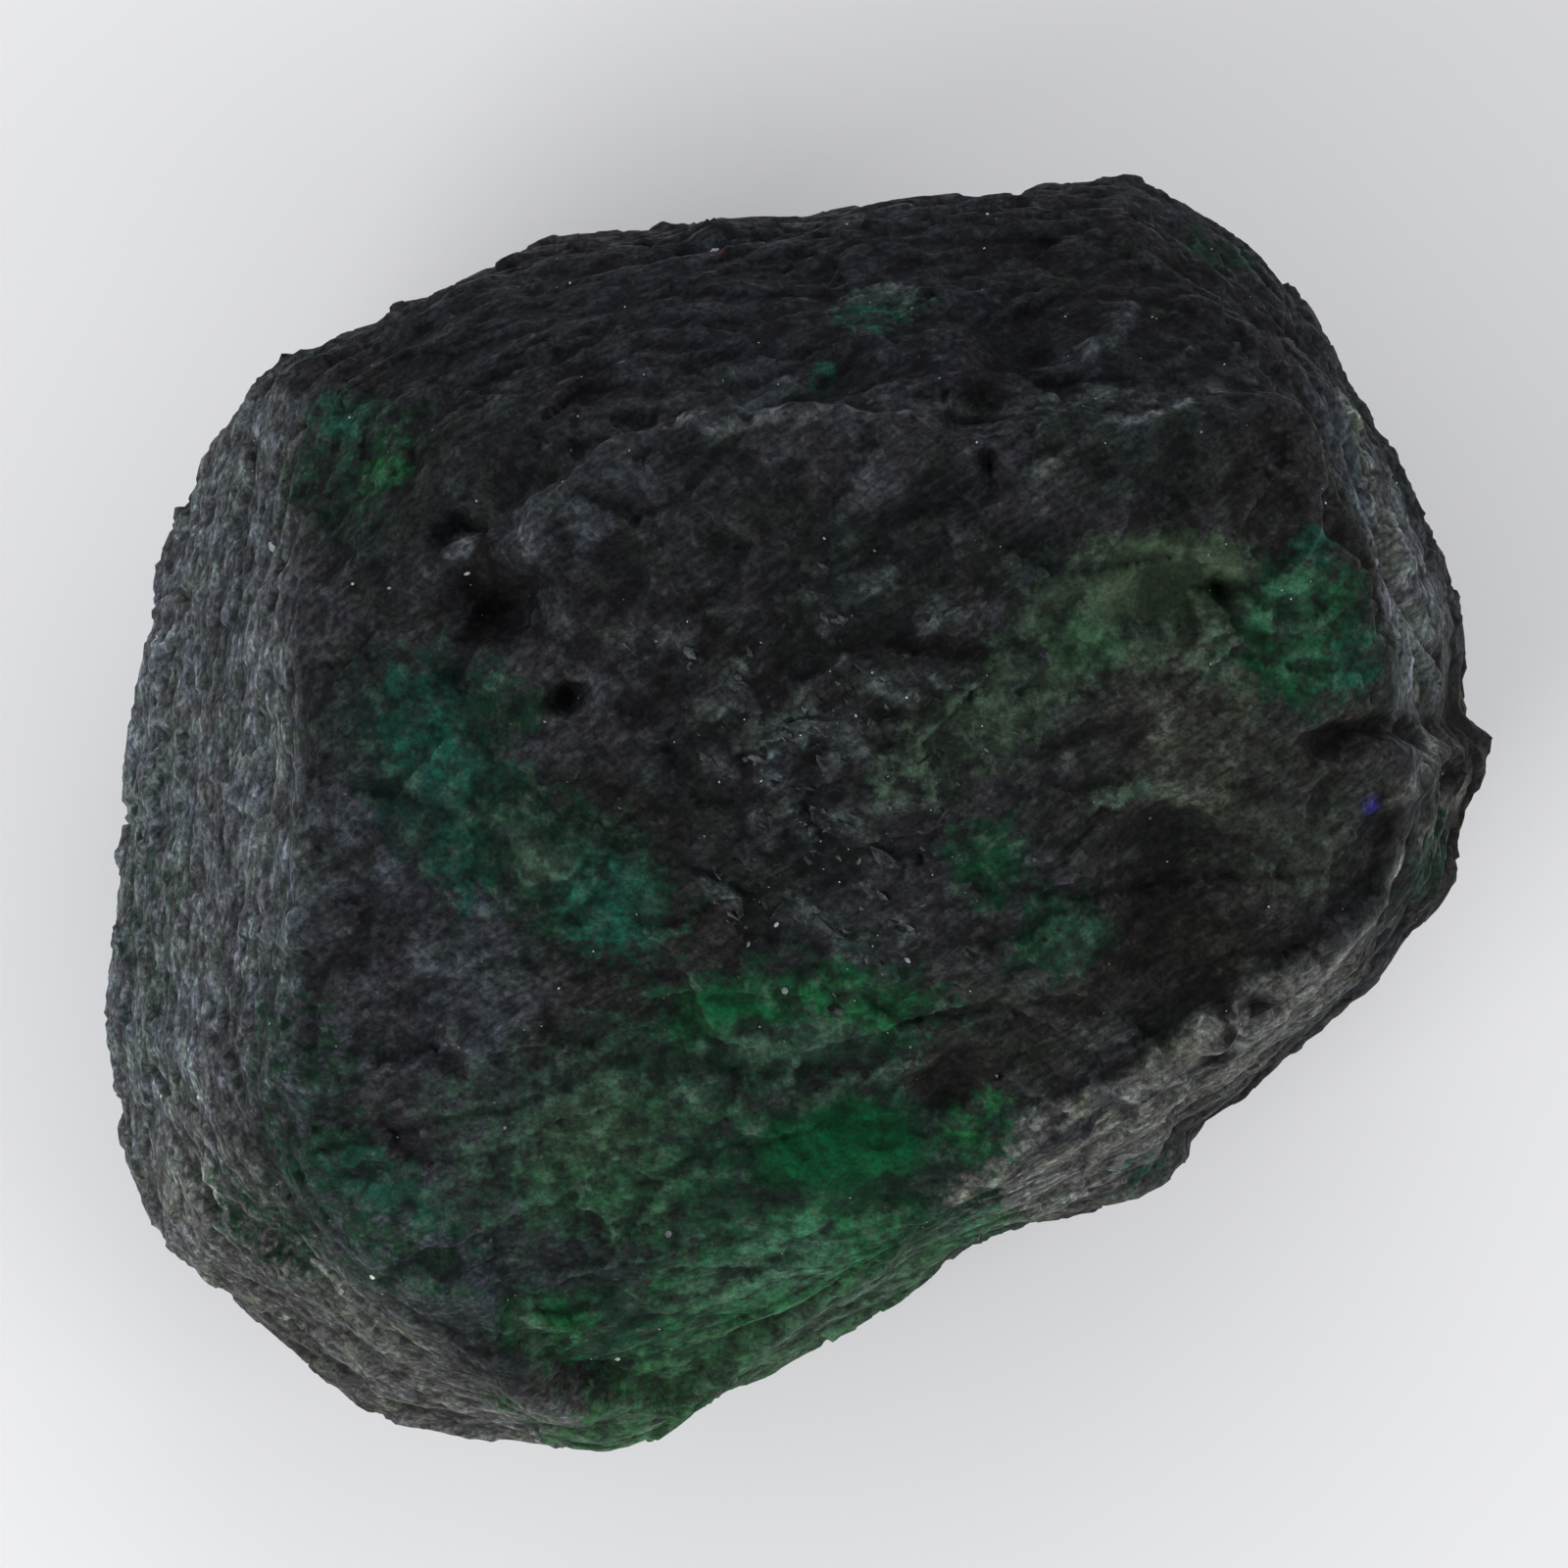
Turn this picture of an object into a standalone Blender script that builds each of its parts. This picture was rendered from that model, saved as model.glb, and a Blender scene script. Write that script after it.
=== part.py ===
"""Rough emerald: one lump of dark mica schist with green beryl grown through it.

The stone lies as it was broken, on a flat face. +X is east, its longest way, +Y is north and +Z is up.
Its broken sides are the flat faces between named corners. The worn edges, the layers of the schist,
the chips, the ledges and the pits are then worked into that body.
"""

import math

import bmesh
import bpy
import numpy as np
from mathutils import Vector, noise

MM = 0.001

# Driving dimensions, in metres
LENGTH = 56.0 * MM
WIDTH = 50.7 * MM
HEIGHT = 32.5 * MM

# How worn the edges are, and how finely the stone is worked
EDGE_WEAR = 0.9 * MM
GRID = 0.5 * MM
TRIANGLES = 10900

# Corners of the broken faces, in millimetres: east, north and up from the middle of the resting face
NORTH_SIDE = (
    (-20.9, 18.3, 14),
    (-15.0, 20.9, 15),
    (-8.9, 23.4, 16),
    (4.7, 25.1, 16),
    (13.3, 25.3, 16),
    (17.7, 23.2, 15),
)
EAST_SIDE = (
    (21.6, 19.1, 13),
    (24.5, 14.7, 12),
    (26.9, 9.2, 11),
    (27.5, 3.8, 10),
    (26.6, -2.6, 9),
)
SOUTH_EAST_SIDE = (
    (23.5, -6.6, 10),
    (18.8, -10.8, 8),
    (14.3, -14.1, 10.5),
    (7.5, -15.3, 7.5),
    (2.3, -16.9, 9.5),
)
SOUTH_SIDE = (
    (-3.4, -23.9, 8),
    (-7.7, -25.7, 9.5),
    (-11.7, -25.4, 7.5),
    (-17.5, -24.2, 7.3),
)
WEST_SIDE = (
    (-25.6, -17.5, 9.5),
    (-27.9, -14.3, 7),
    (-28.1, -8.8, 9.5),
    (-27.8, -2.5, 6.5),
    (-27.0, 6.1, 9.5),
    (-25.6, 12.2, 9),
    (-23.8, 15.5, 11),
)
NORTH_SHOULDER = (
    (-19.3, 17.3, 20.5),
    (-13.2, 19.9, 22),
    (-5.7, 21.2, 23),
    (3.8, 22.6, 24),
    (12.5, 22.8, 24),
    (16.9, 20.1, 23),
    (20.3, 15.9, 22),
    (22.9, 9.7, 20),
    (24.1, 4.5, 18.5),
)
CROWN = (
    (-17.8, 8.2, 27),
    (-17.3, 2.6, 28),
    (-18.0, -2.3, 27.5),
    (-18.8, -8.7, 26),
    (-17.4, -13.0, 24.5),
    (-14.0, -17.9, 22),
    (-9.6, -21.4, 18.5),
    (-4.4, -22.0, 15.5),
    (1.3, -18.1, 18),
    (5.0, -14.4, 23.5),
    (8.6, -11.7, 25),
    (13.2, -9.0, 25.5),
    (16.5, -6.3, 26),
    (20.6, -4.4, 25),
    (22.5, -0.8, 24.5),
    (22.0, 4.7, 26),
    (20.6, 8.2, 28),
    (19.1, 11.6, 29.4),
    (17.0, 15.2, 30.2),
    (12.0, 15.3, 31.8),
    (2.7, 14.8, 32.5),
    (-6.1, 14.3, 31.2),
    (-11.7, 13.4, 29.4),
    (1.0, 4.0, 32),
)
LOW_CORNERS = (
    (-25.9, 4.1, 4),
    (-26.6, -8.4, 3.5),
    (-23.4, -15.1, 4.5),
    (-12.4, -22.5, 2.5),
    (-5.2, -22.7, 4.5),
    (2.4, -16.1, 3),
    (12.2, -12.7, 5),
    (22.4, -5.6, 3.5),
    (25.7, 3.1, 5.5),
    (22.9, 12.6, 3.5),
    (15.7, 21.7, 6.0),
    (1.3, 23.1, 7.0),
    (-9.7, 21.9, 5.5),
    (-19.7, 17.3, 5.0),
)
FOOT = (
    (-21.1, 12.6, -1.5),
    (-10.2, 19.1, -1.5),
    (2.3, 20.5, -1.5),
    (13.3, 18.9, -1.5),
    (19.8, 11.1, -1.5),
    (22.3, 3.6, -1.5),
    (18.9, -4.9, -1.5),
    (10.3, -10.7, -1.5),
    (0.3, -14.8, -1.5),
    (-7.2, -20.3, -1.5),
    (-15.2, -19.5, -1.5),
    (-22.7, -11.9, -1.5),
    (-24.1, -0.9, -1.5),
)

# Ledges: how far the ground drops, how far its slopes reach, and the line of the step.
# The low ground is on the right of the line, for someone who walks along it on the stone.
LEDGES = {
    "north ledge": (1.0, 4.6, ((1.7, 14.8, 31.8), (-3.4, 14.7, 30.9), (-6.1, 13.8, 31.2), (-9.0, 11.8, 30))),
    "north ledge, east": (0.9, 4.6, ((16.5, 15.4, 30), (11.2, 15.1, 31.5), (5.9, 14.1, 32.3), (1.7, 14.8, 31.8))),
    "north shingle": (0.6, 3.0, ((11.6, 14.0, 32), (9.7, 13.3, 32), (8.3, 12.4, 32.1), (5.2, 11.6, 32.2))),
    "south arc": (1.1, 4.6, ((1.4, -18.6, 17.5), (-1.4, -20.2, 16.3), (-4.5, -22.2, 14.5), (-8.3, -21.9, 17))),
    "south arc, west": (0.9, 4.0, ((-8.3, -21.9, 17), (-10.5, -19.8, 20), (-11.2, -17.6, 22))),
    "slab, west side": (0.7, 3.6, ((14.3, 14.0, 31.2), (14.0, 11.6, 30.8), (14.2, 9.4, 30.1))),
    "slab, south side": (0.6, 3.0, ((14.2, 9.4, 30.1), (16.6, 8.6, 29.6), (18.9, 8.9, 28.9))),
    "east lamella": (0.8, 3.4, ((20.8, 14.2, 22.5), (22.4, 10.6, 21.8), (24.2, 6.8, 19.6), (25.2, 3.4, 17))),
    "south-west lamina": (0.7, 3.2, ((-16.2, -19.6, 17), (-17.6, -18.6, 17), (-20.0, -16.3, 17), (-23.6, -13.6, 14.5))),
    "knob, north side": (0.9, 4.0, ((24.8, 4.4, 4), (27.6, 3.9, 10), (25.4, 3.7, 18), (22.4, 3.5, 26))),
    "chunk, west side": (0.8, 3.6, ((15.9, -12.4, 10.4), (14.8, -12.6, 12.3), (14.6, -11.2, 16.8))),
    "holes' brow": (0.7, 2.6, ((18.6, -5.6, 25), (16.6, -6.2, 25.9), (14.4, -7.4, 25.8), (12.2, -9.0, 25.6))),
}

# Grooves: half their width, how deep they are, and their line
GROOVES = {
    "east fissure": (0.55, 0.9, ((18.4, 14.1, 28), (19.4, 10.9, 29.1), (20.3, 9.9, 27.4), (21.1, 7.9, 26.7))),
    "east fissure, outer": (0.5, 0.8, ((21.8, 11.3, 22.7), (23.2, 8.6, 21), (24.7, 6.4, 17.7))),
    "south-west groove": (0.6, 0.7, ((-19.4, -15.4, 19), (-18.2, -16.8, 18.6), (-16.6, -18.2, 18.4))),
    "slit over the knob": (0.5, 0.9, ((18.9, 3.6, 27.4), (20.4, 3.5, 26.8), (21.7, 3.6, 25.9), (23.0, 3.4, 22.6))),
    "middle slit": (0.4, 0.3, ((9.4, 1.8, 29.6), (10.4, 1.8, 29.3), (11.6, 2.2, 29))),
    "crescent": (0.6, 0.7, ((11.4, -10.2, 25), (12.0, -10.1, 24.7), (12.7, -9.8, 24.2))),
    "slit under the holes": (0.5, 0.6, ((15.2, -8.2, 24.1), (16.0, -8.3, 22.4), (16.8, -8.2, 21.2))),
}

# Ridges: how far they reach, how high they stand and their line
RIDGES = {
    "south-east rim": (1.3, 0.6, ((4.6, -14.4, 23.2), (8.4, -11.9, 24.8), (12.0, -9.6, 25.4), (15.2, -7.4, 25.8))),
    "rim over the holes": (1.1, 0.5, ((15.2, -7.4, 25.8), (16.7, -6.0, 26), (19.6, -4.9, 25.2), (21.5, -2.7, 24.6))),
    "knob crest": (0.8, 0.35, ((22.0, 1.2, 25.1), (23.4, 2.2, 22.1), (24.6, 3.2, 18.8))),
    "south-west rim": (0.9, 0.4, ((-23.2, -13.2, 16.8), (-21.6, -15.2, 16.4), (-19.2, -17.0, 17.0), (-16.6, -18.4, 17.6))),
    "east band rim": (0.9, 0.35, ((21.2, 15.6, 18.6), (21.9, 12.6, 21.0), (22.8, 9.4, 21.2), (23.4, 6.4, 21.6))),
    "north slab edge": (0.8, 0.3, ((8.3, 16.5, 30.5), (10.4, 17.1, 29.9), (11.6, 18.0, 28.9), (12.0, 19.1, 27.7))),
    "north shingle rim": (0.7, 0.25, ((10.6, 14.0, 31.6), (12.6, 14.8, 31.0), (13.8, 15.4, 31.0))),
}

# Pits: their place, how wide they reach and how deep they are
PITS = {
    "north-west pit": ((-12.0, 11.0, 29.4), 1.2, 0.9),
    "west hollow": ((-10.6, 8.2, 29.9), 2.6, 1.3),
    "west pit": ((-12.4, 6.0, 29.3), 1.2, 0.7),
    "middle pit": ((-8.3, 4.9, 30.1), 1.0, 1.1),
    "north pit": ((-5.7, 14.8, 30.3), 0.9, 0.8),
    "ledge cave": ((6.5, 15.3, 31.7), 1.8, 1.2),
    "brown hollow": ((8.4, 17.2, 29.8), 2.6, 0.8),
    "square pit": ((7.0, 13.2, 32.2), 0.8, 0.7),
    "chip scar": ((15.0, 8.5, 29.8), 0.9, 0.8),
    "big hole": ((17.0, -6.6, 25.2), 1.2, 1.3),
    "small hole": ((16.0, -7.5, 24.5), 1.0, 1.0),
    "far hole": ((18.2, -6.6, 23.1), 0.9, 0.7),
    "low hollow": ((14.0, -2.6, 27.5), 4.6, 0.9),
    "dark hollow": ((13.6, 0.2, 28.2), 2.2, 0.5),
    "dark middle": ((5.8, -9.2, 26), 1.8, 0.6),
    "south-west spot": ((-12.5, -8.3, 26.5), 1.2, 0.5),
    "north dip": ((0.0, 24.0, 17.6), 4.5, 0.6),
    "south-east dip": ((7.3, -16.7, 10.3), 4.8, 1.1),
}

# Lumps: their place, how wide they reach and how far they stand out
LUMPS = {
    "arc brow": ((-9.4, 9.9, 30.3), 1.5, 0.5),
    "pale chip": ((15.7, 9.6, 30), 0.9, 0.5),
    "knob": ((26.6, 2.8, 12.0), 3.6, 0.6),
    "knob foot": ((26.0, -2.2, 12), 3.4, 0.6),
    "wedge crystal": ((-9.0, -1.2, 29), 1.5, 0.5),
    "olive lump": ((12.4, 5.6, 29.7), 3.4, 0.5),
    "green lens": ((1.2, -12.1, 24.8), 2.6, 0.5),
    "south crystal": ((-8.6, -18.4, 21), 2.6, 0.6),
    "south-east chunk": ((13.6, -13.7, 10.8), 3.0, 0.5),
    "north bump": ((-3.1, 22.7, 20.2), 1.4, 0.5),
}

# The schist's layers lie nearly level and rise a little to the north
LAYER_UP = Vector((0.06, -0.20, 0.98)).normalized()
LAYER_RUN = Vector((0.96, 0.25, 0.0)).normalized()

# A worn layer rises over most of its pitch and falls over the rest; its ridges are longer than high
FALL_STARTS = 0.7
FOLIATION_STRETCH = 3.0
FOLIATION_BEND = 3.5
RIDGE_SHARPNESS = 2.6

# The layers bend slowly, and a little more quickly: how far, in millimetres, and over what length
SLOW_BEND = (2.0, 13)
QUICK_BEND = (0.5, 4)

# A chip is longest along the layers and thin across them
CHIP_LENGTH = 1.7
CHIP_THINNESS = 1.4

# The relief that covers the whole stone: each kind of form has its height and its size in millimetres
BROAD_LUMPS = (0.40, 15)
SMALL_LUMPS = (0.24, 4.5)
WAVY_RIDGES = (0.22, 2.2)
WIDE_CHIPS = (0.035, 6.0)
SMALL_CHIPS = (0.10, 2.7)
LAYER_PITCH = 3.4
LAYER_EDGE = 0.08
LAYER_EDGE_AT_SIDES = 0.22
LAYER_PATCHES = 7

# How far the named forms are bent and torn out of a straight line, and how soon a ledge drops
RAGGED = (0.55, 2.4)
TORN = (0.25, 0.9)
LEDGE_DROPS_WITHIN = 0.45

# The deepest and the highest that the relief may go, in millimetres
DEEPEST = -2.2
HIGHEST = 1.8

# Each seed moves its pattern by this much, so that no two patterns are the same
SEED_STEP = 17.3
CELL_SEED_STEP = 11.9
SLOPE_SEED = 9.7


def clear_scene():
    """Start from an empty file, whatever it held."""
    for leftover in list(bpy.data.objects):
        bpy.data.objects.remove(leftover, do_unlink=True)


def broken_body():
    """The stone's flat broken faces: the smallest closed body around all the corners."""
    rings = (
        NORTH_SIDE,
        EAST_SIDE,
        SOUTH_EAST_SIDE,
        SOUTH_SIDE,
        WEST_SIDE,
        NORTH_SHOULDER,
        CROWN,
        LOW_CORNERS,
        FOOT,
    )
    body = bmesh.new()
    for ring in rings:
        for corner in ring:
            body.verts.new(Vector(corner) * MM)
    hull = bmesh.ops.convex_hull(body, input=body.verts)
    inside = [part for part in hull["geom_interior"] if isinstance(part, bmesh.types.BMVert)]
    bmesh.ops.delete(body, geom=inside, context="VERTS")
    bmesh.ops.recalc_face_normals(body, faces=body.faces)
    return body


def wear_edges(body):
    """Round every edge where two broken faces meet at a clear angle."""
    clear_angle = math.radians(9)
    nearly_flat = math.radians(3)
    bmesh.ops.dissolve_limit(body, angle_limit=nearly_flat, verts=body.verts, edges=body.edges)
    worn = [edge for edge in body.edges if edge.calc_face_angle(0) > clear_angle]
    bmesh.ops.bevel(
        body,
        geom=worn,
        offset=EDGE_WEAR,
        segments=2,
        profile=0.5,
        affect="EDGES",
        material=-1,
        clamp_overlap=True,
    )


def after_modifier(mesh, kind, **settings):
    """The mesh as one of the modifiers leaves it, as a new mesh."""
    holder = bpy.data.objects.new("holder", mesh)
    bpy.context.scene.collection.objects.link(holder)
    modifier = holder.modifiers.new(kind, kind)
    for setting, value in settings.items():
        setattr(modifier, setting, value)
    graph = bpy.context.evaluated_depsgraph_get()
    result = bpy.data.meshes.new_from_object(holder.evaluated_get(graph))
    bpy.data.objects.remove(holder)
    return result


def bumps(places, size, seed):
    """Smooth bumps of about the given size in millimetres, from about -1 to 1."""
    shifted = places / size + SEED_STEP * seed
    return np.array([noise.noise(place) for place in shifted.tolist()])


def chips(places, size, seed):
    """Flat breaks, longest along the layers: every cell of the pattern is a plane with its own slope."""
    upright = LAYER_RUN.cross(LAYER_UP).normalized()
    axes = np.array((LAYER_RUN / CHIP_LENGTH, upright, LAYER_UP * CHIP_THINNESS))
    slopes = []
    for place in (places @ axes.T / size + CELL_SEED_STEP * seed).tolist():
        middle = noise.voronoi(place)[1][0]
        slope = noise.cell_vector(middle * SLOPE_SEED) * 2 - Vector((1, 1, 1))
        slopes.append((Vector(place) - middle).dot(slope))
    return np.array(slopes) * size


def layers(places, pitch, seed):
    """The worn edges of the layers: a slow rise to 0.5 at the top of each, then a quick fall to -0.5."""
    height = places @ np.array(LAYER_UP)
    height += SLOW_BEND[0] * bumps(places, SLOW_BEND[1], seed)
    height += QUICK_BEND[0] * bumps(places, QUICK_BEND[1], seed + 1)
    share = (height / pitch) % 1.0
    fall = np.clip((share - FALL_STARTS) / (1 - FALL_STARTS), 0, 1)
    return np.where(share < FALL_STARTS, share / FALL_STARTS, 1 - fall * fall * (3 - 2 * fall)) - 0.5


def foliation(places, rise, seed):
    """Wavy ridges along the layers that part and join again, from about -1 between them to 1 on top."""
    along = places @ np.array(LAYER_RUN)
    across = places @ np.array(LAYER_RUN.cross(LAYER_UP))
    up = places @ np.array(LAYER_UP) + 0.5 * bumps(places, FOLIATION_BEND, seed + 1)
    length = FOLIATION_STRETCH * rise
    flattened = np.stack((along / length, across / length, up / rise), axis=1)
    return 1 - RIDGE_SHARPNESS * np.abs(bumps(flattened, 1.0, seed))


def fade(distance, reach):
    """1 at the place itself, falling smoothly to 0 at its reach."""
    share = np.clip(1 - distance / reach, 0, 1)
    return share * share * (3 - 2 * share)


def from_line(places, outward, line):
    """How far each place is from a line of points, and how far it is to the line's right."""
    nearest = np.full(len(places), np.inf)
    right = np.zeros(len(places))
    points = np.array(line)
    for start, end in zip(points[:-1], points[1:]):
        along = end - start
        share = np.clip((places - start) @ along / (along @ along), 0, 1)
        away = places - start - share[:, None] * along
        distance = np.linalg.norm(away, axis=1)
        sideways = np.cross(along / np.linalg.norm(along), outward)
        closer = distance < nearest
        nearest = np.where(closer, distance, nearest)
        right = np.where(closer, (away * sideways).sum(axis=1), right)
    return nearest, right


def named_relief(places, outward):
    """The ledges, grooves, pits and lumps that have names, in millimetres."""
    ragged = np.stack([bumps(places, RAGGED[1], seed) for seed in (31, 32, 33)], axis=1)
    torn = np.stack([bumps(places, TORN[1], seed) for seed in (34, 35, 36)], axis=1)
    places = places + RAGGED[0] * ragged + TORN[0] * torn
    relief = np.zeros(len(places))
    for drop, reach, line in LEDGES.values():
        nearest, right = from_line(places, outward, line)
        step = np.clip(right / LEDGE_DROPS_WITHIN, -1, 1)
        relief -= 0.5 * drop * step * fade(nearest, reach)
    for half_width, depth, line in GROOVES.values():
        nearest = from_line(places, outward, line)[0]
        relief -= depth * fade(nearest, 2 * half_width)
    for reach, height, line in RIDGES.values():
        relief += height * fade(from_line(places, outward, line)[0], reach)
    for place, reach, depth in PITS.values():
        relief -= depth * fade(np.linalg.norm(places - np.array(place), axis=1), reach)
    for place, reach, height in LUMPS.values():
        relief += height * fade(np.linalg.norm(places - np.array(place), axis=1), reach)
    return relief


def natural_relief(places, outward):
    """The broad lumps, layer edges and chips that cover the whole stone, in millimetres."""
    sideways = 1 - np.abs(outward @ np.array(LAYER_UP))
    patches = np.clip(0.5 + bumps(places, LAYER_PATCHES, 3), 0.1, 1)
    layer_edge = LAYER_EDGE + LAYER_EDGE_AT_SIDES * sideways
    relief = BROAD_LUMPS[0] * bumps(places, BROAD_LUMPS[1], 1)
    relief += SMALL_LUMPS[0] * bumps(places, SMALL_LUMPS[1], 6)
    relief += layer_edge * patches * layers(places, LAYER_PITCH, 5)
    relief += WAVY_RIDGES[0] * sideways * foliation(places, WAVY_RIDGES[1], 8)
    relief += WIDE_CHIPS[0] * chips(places, WIDE_CHIPS[1], 2)
    relief += SMALL_CHIPS[0] * chips(places, SMALL_CHIPS[1], 4)
    return relief


def work_surface(mesh):
    """Move every point of the surface out or in by its relief."""
    count = len(mesh.vertices)
    places = np.empty(count * 3)
    outward = np.empty(count * 3)
    mesh.vertices.foreach_get("co", places)
    mesh.vertex_normals.foreach_get("vector", outward)
    places = places.reshape(count, 3) / MM
    outward = outward.reshape(count, 3)
    relief = natural_relief(places, outward) + named_relief(places, outward)
    moved = places + np.clip(relief, DEEPEST, HIGHEST)[:, None] * outward
    mesh.vertices.foreach_set("co", (moved * MM).ravel())
    mesh.update()


def thin_out(mesh, most):
    """Drop the triangles that the shape can do without, down to the given number."""
    mesh.calc_loop_triangles()
    ratio = min(1.0, most / len(mesh.loop_triangles))
    return after_modifier(mesh, "DECIMATE", ratio=ratio, use_collapse_triangulate=True)


def break_flat(mesh):
    """Cut the foot off level, which is the face that the stone rests on."""
    smallest_edge = 0.02 * MM
    body = bmesh.new()
    body.from_mesh(mesh)
    everything = body.verts[:] + body.edges[:] + body.faces[:]
    cut = bmesh.ops.bisect_plane(
        body,
        geom=everything,
        dist=smallest_edge,
        plane_co=(0, 0, 0),
        plane_no=(0, 0, -1),
        clear_outer=True,
    )
    rim = [part for part in cut["geom_cut"] if isinstance(part, bmesh.types.BMEdge)]
    bmesh.ops.holes_fill(body, edges=rim, sides=0)
    bmesh.ops.triangulate(body, faces=body.faces)
    bmesh.ops.recalc_face_normals(body, faces=body.faces)
    body.to_mesh(mesh)
    body.free()


def fit_to_size(mesh):
    """Bring the stone to its driving dimensions, centred over the middle of its box."""
    corners = np.array([vertex.co for vertex in mesh.vertices])
    low = corners.min(axis=0)
    high = corners.max(axis=0)
    size = np.array((LENGTH, WIDTH, HEIGHT))
    fitted = (corners - low) / (high - low) * size
    fitted -= np.array((LENGTH / 2, WIDTH / 2, 0))
    mesh.vertices.foreach_set("co", fitted.ravel())
    mesh.update()


def emerald_schist():
    """Dark mica schist, a little green."""
    material = bpy.data.materials.new("emerald_schist")
    material.use_nodes = True
    surface = material.node_tree.nodes["Principled BSDF"]
    surface.inputs["Base Color"].default_value = (0.03, 0.04, 0.035, 1)
    surface.inputs["Roughness"].default_value = 0.55
    surface.inputs["Metallic"].default_value = 0.0
    return material


def emerald_stone():
    """The whole stone, as one closed mesh."""
    body = broken_body()
    wear_edges(body)
    mesh = bpy.data.meshes.new("body")
    body.to_mesh(mesh)
    body.free()
    mesh = after_modifier(mesh, "REMESH", mode="VOXEL", voxel_size=GRID)
    work_surface(mesh)
    mesh = after_modifier(mesh, "REMESH", mode="VOXEL", voxel_size=GRID)
    mesh = thin_out(mesh, TRIANGLES)
    break_flat(mesh)
    fit_to_size(mesh)
    mesh.name = "emerald_stone"
    mesh.materials.append(emerald_schist())
    mesh.shade_smooth()
    mesh.set_sharp_from_angle(angle=math.radians(30))
    return bpy.data.objects.new("emerald_stone", mesh)


def main():
    clear_scene()
    rough_emerald = bpy.data.collections.new("rough_emerald")
    bpy.context.scene.collection.children.link(rough_emerald)
    rough_emerald.objects.link(emerald_stone())


main()
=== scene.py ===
# %% [markdown]
# This script dresses one natural stone: a rough emerald, as it is sold by weight before any cutting.
# Most rough emerald isn't a clean green prism. It is a broken lump of dark mica schist with green beryl
# grown through it, so the work here is a worn, layered rock first and green crystal second.
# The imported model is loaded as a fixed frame. It gives the stone's place and its real size in metres.

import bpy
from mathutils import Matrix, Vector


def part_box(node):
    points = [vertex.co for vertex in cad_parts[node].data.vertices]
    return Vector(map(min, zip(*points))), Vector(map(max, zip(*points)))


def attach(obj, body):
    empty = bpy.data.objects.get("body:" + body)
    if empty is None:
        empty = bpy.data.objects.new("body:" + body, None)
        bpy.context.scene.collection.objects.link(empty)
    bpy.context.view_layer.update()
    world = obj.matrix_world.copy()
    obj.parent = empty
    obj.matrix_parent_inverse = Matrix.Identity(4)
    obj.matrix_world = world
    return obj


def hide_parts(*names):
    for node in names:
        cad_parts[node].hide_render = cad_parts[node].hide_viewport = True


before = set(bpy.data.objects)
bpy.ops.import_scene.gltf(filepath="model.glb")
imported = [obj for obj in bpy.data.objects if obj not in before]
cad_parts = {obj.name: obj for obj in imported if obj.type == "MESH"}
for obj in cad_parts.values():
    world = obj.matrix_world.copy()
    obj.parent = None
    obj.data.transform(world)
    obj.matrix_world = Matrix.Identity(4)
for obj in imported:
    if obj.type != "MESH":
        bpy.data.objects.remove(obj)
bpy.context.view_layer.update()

# %% [markdown]
# Blender measures in metres and a stone is told in millimetres, so MM turns one into the other. The relief
# is worked out with numpy, which handles two hundred thousand points at once where a loop would be slow.

# %% Modules and units
import math
import random

import bmesh
import bpy
import numpy as np
from mathutils import Matrix, Vector, noise
from mathutils.bvhtree import BVHTree

MM = 0.001
scene = bpy.context.scene
print("millimetres to a metre:", round(1 / MM))

# %% [markdown]
# The camera comes first, because every later choice is judged through it. The stone is seen from
# straight above, from a hand's breadth away, so the crown looks a little larger than the girdle.
# A long lens at 165 mm gives the same perspective and fills the square frame in the same way.

# %% Camera
CAMERA_PLACE = Vector((-0.43, 1.82, 165)) * MM
LENS = 88.2
SENSOR_WIDTH = 36
NEAREST_SEEN = 10 * MM


def in_scene(name, data):
    """A new object with the given data, linked into the scene."""
    thing = bpy.data.objects.new(name, data)
    scene.collection.objects.link(thing)
    return thing


camera = in_scene("camera", bpy.data.cameras.new("camera"))
camera.location = CAMERA_PLACE
camera.data.lens = LENS
camera.data.sensor_width = SENSOR_WIDTH
camera.data.clip_start = NEAREST_SEEN
scene.camera = camera
print("camera above the floor, in mm:", round(camera.location.z / MM))

# %% [markdown]
# A stone breaks along flat faces, so its body can be told by the corners where those faces meet.
# Sculpting by hand would work too, but a few named corners are easier to read and to correct.
# They are east, north and up, in millimetres, from the middle of the face that the stone rests on.
# The rings run round the stone: the widest outline, the shoulder on the north, the crown and the foot.

# %% Corners of the broken faces
NORTH_SIDE = (
    (-20.9, 18.3, 14), (-15.0, 20.9, 15), (-8.9, 23.4, 16), (4.7, 25.1, 16), (13.3, 25.3, 16),
    (17.7, 23.2, 15),
)
EAST_SIDE = (
    (21.6, 19.1, 13), (24.5, 14.7, 12), (26.9, 9.2, 11), (27.5, 3.8, 10), (26.6, -2.6, 9),
)
SOUTH_EAST_SIDE = (
    (23.5, -6.6, 10), (18.8, -10.8, 8), (14.3, -14.1, 10.5), (7.5, -15.3, 7.5), (2.3, -16.9, 9.5),
)
SOUTH_SIDE = (
    (-3.4, -23.9, 8), (-7.7, -25.7, 9.5), (-11.7, -25.4, 7.5), (-17.5, -24.2, 7.3),
)
WEST_SIDE = (
    (-25.6, -17.5, 9.5), (-27.9, -14.3, 7), (-28.1, -8.8, 9.5), (-27.8, -2.5, 6.5), (-27.0, 6.1, 9.5),
    (-25.6, 12.2, 9), (-23.8, 15.5, 11),
)
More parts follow.
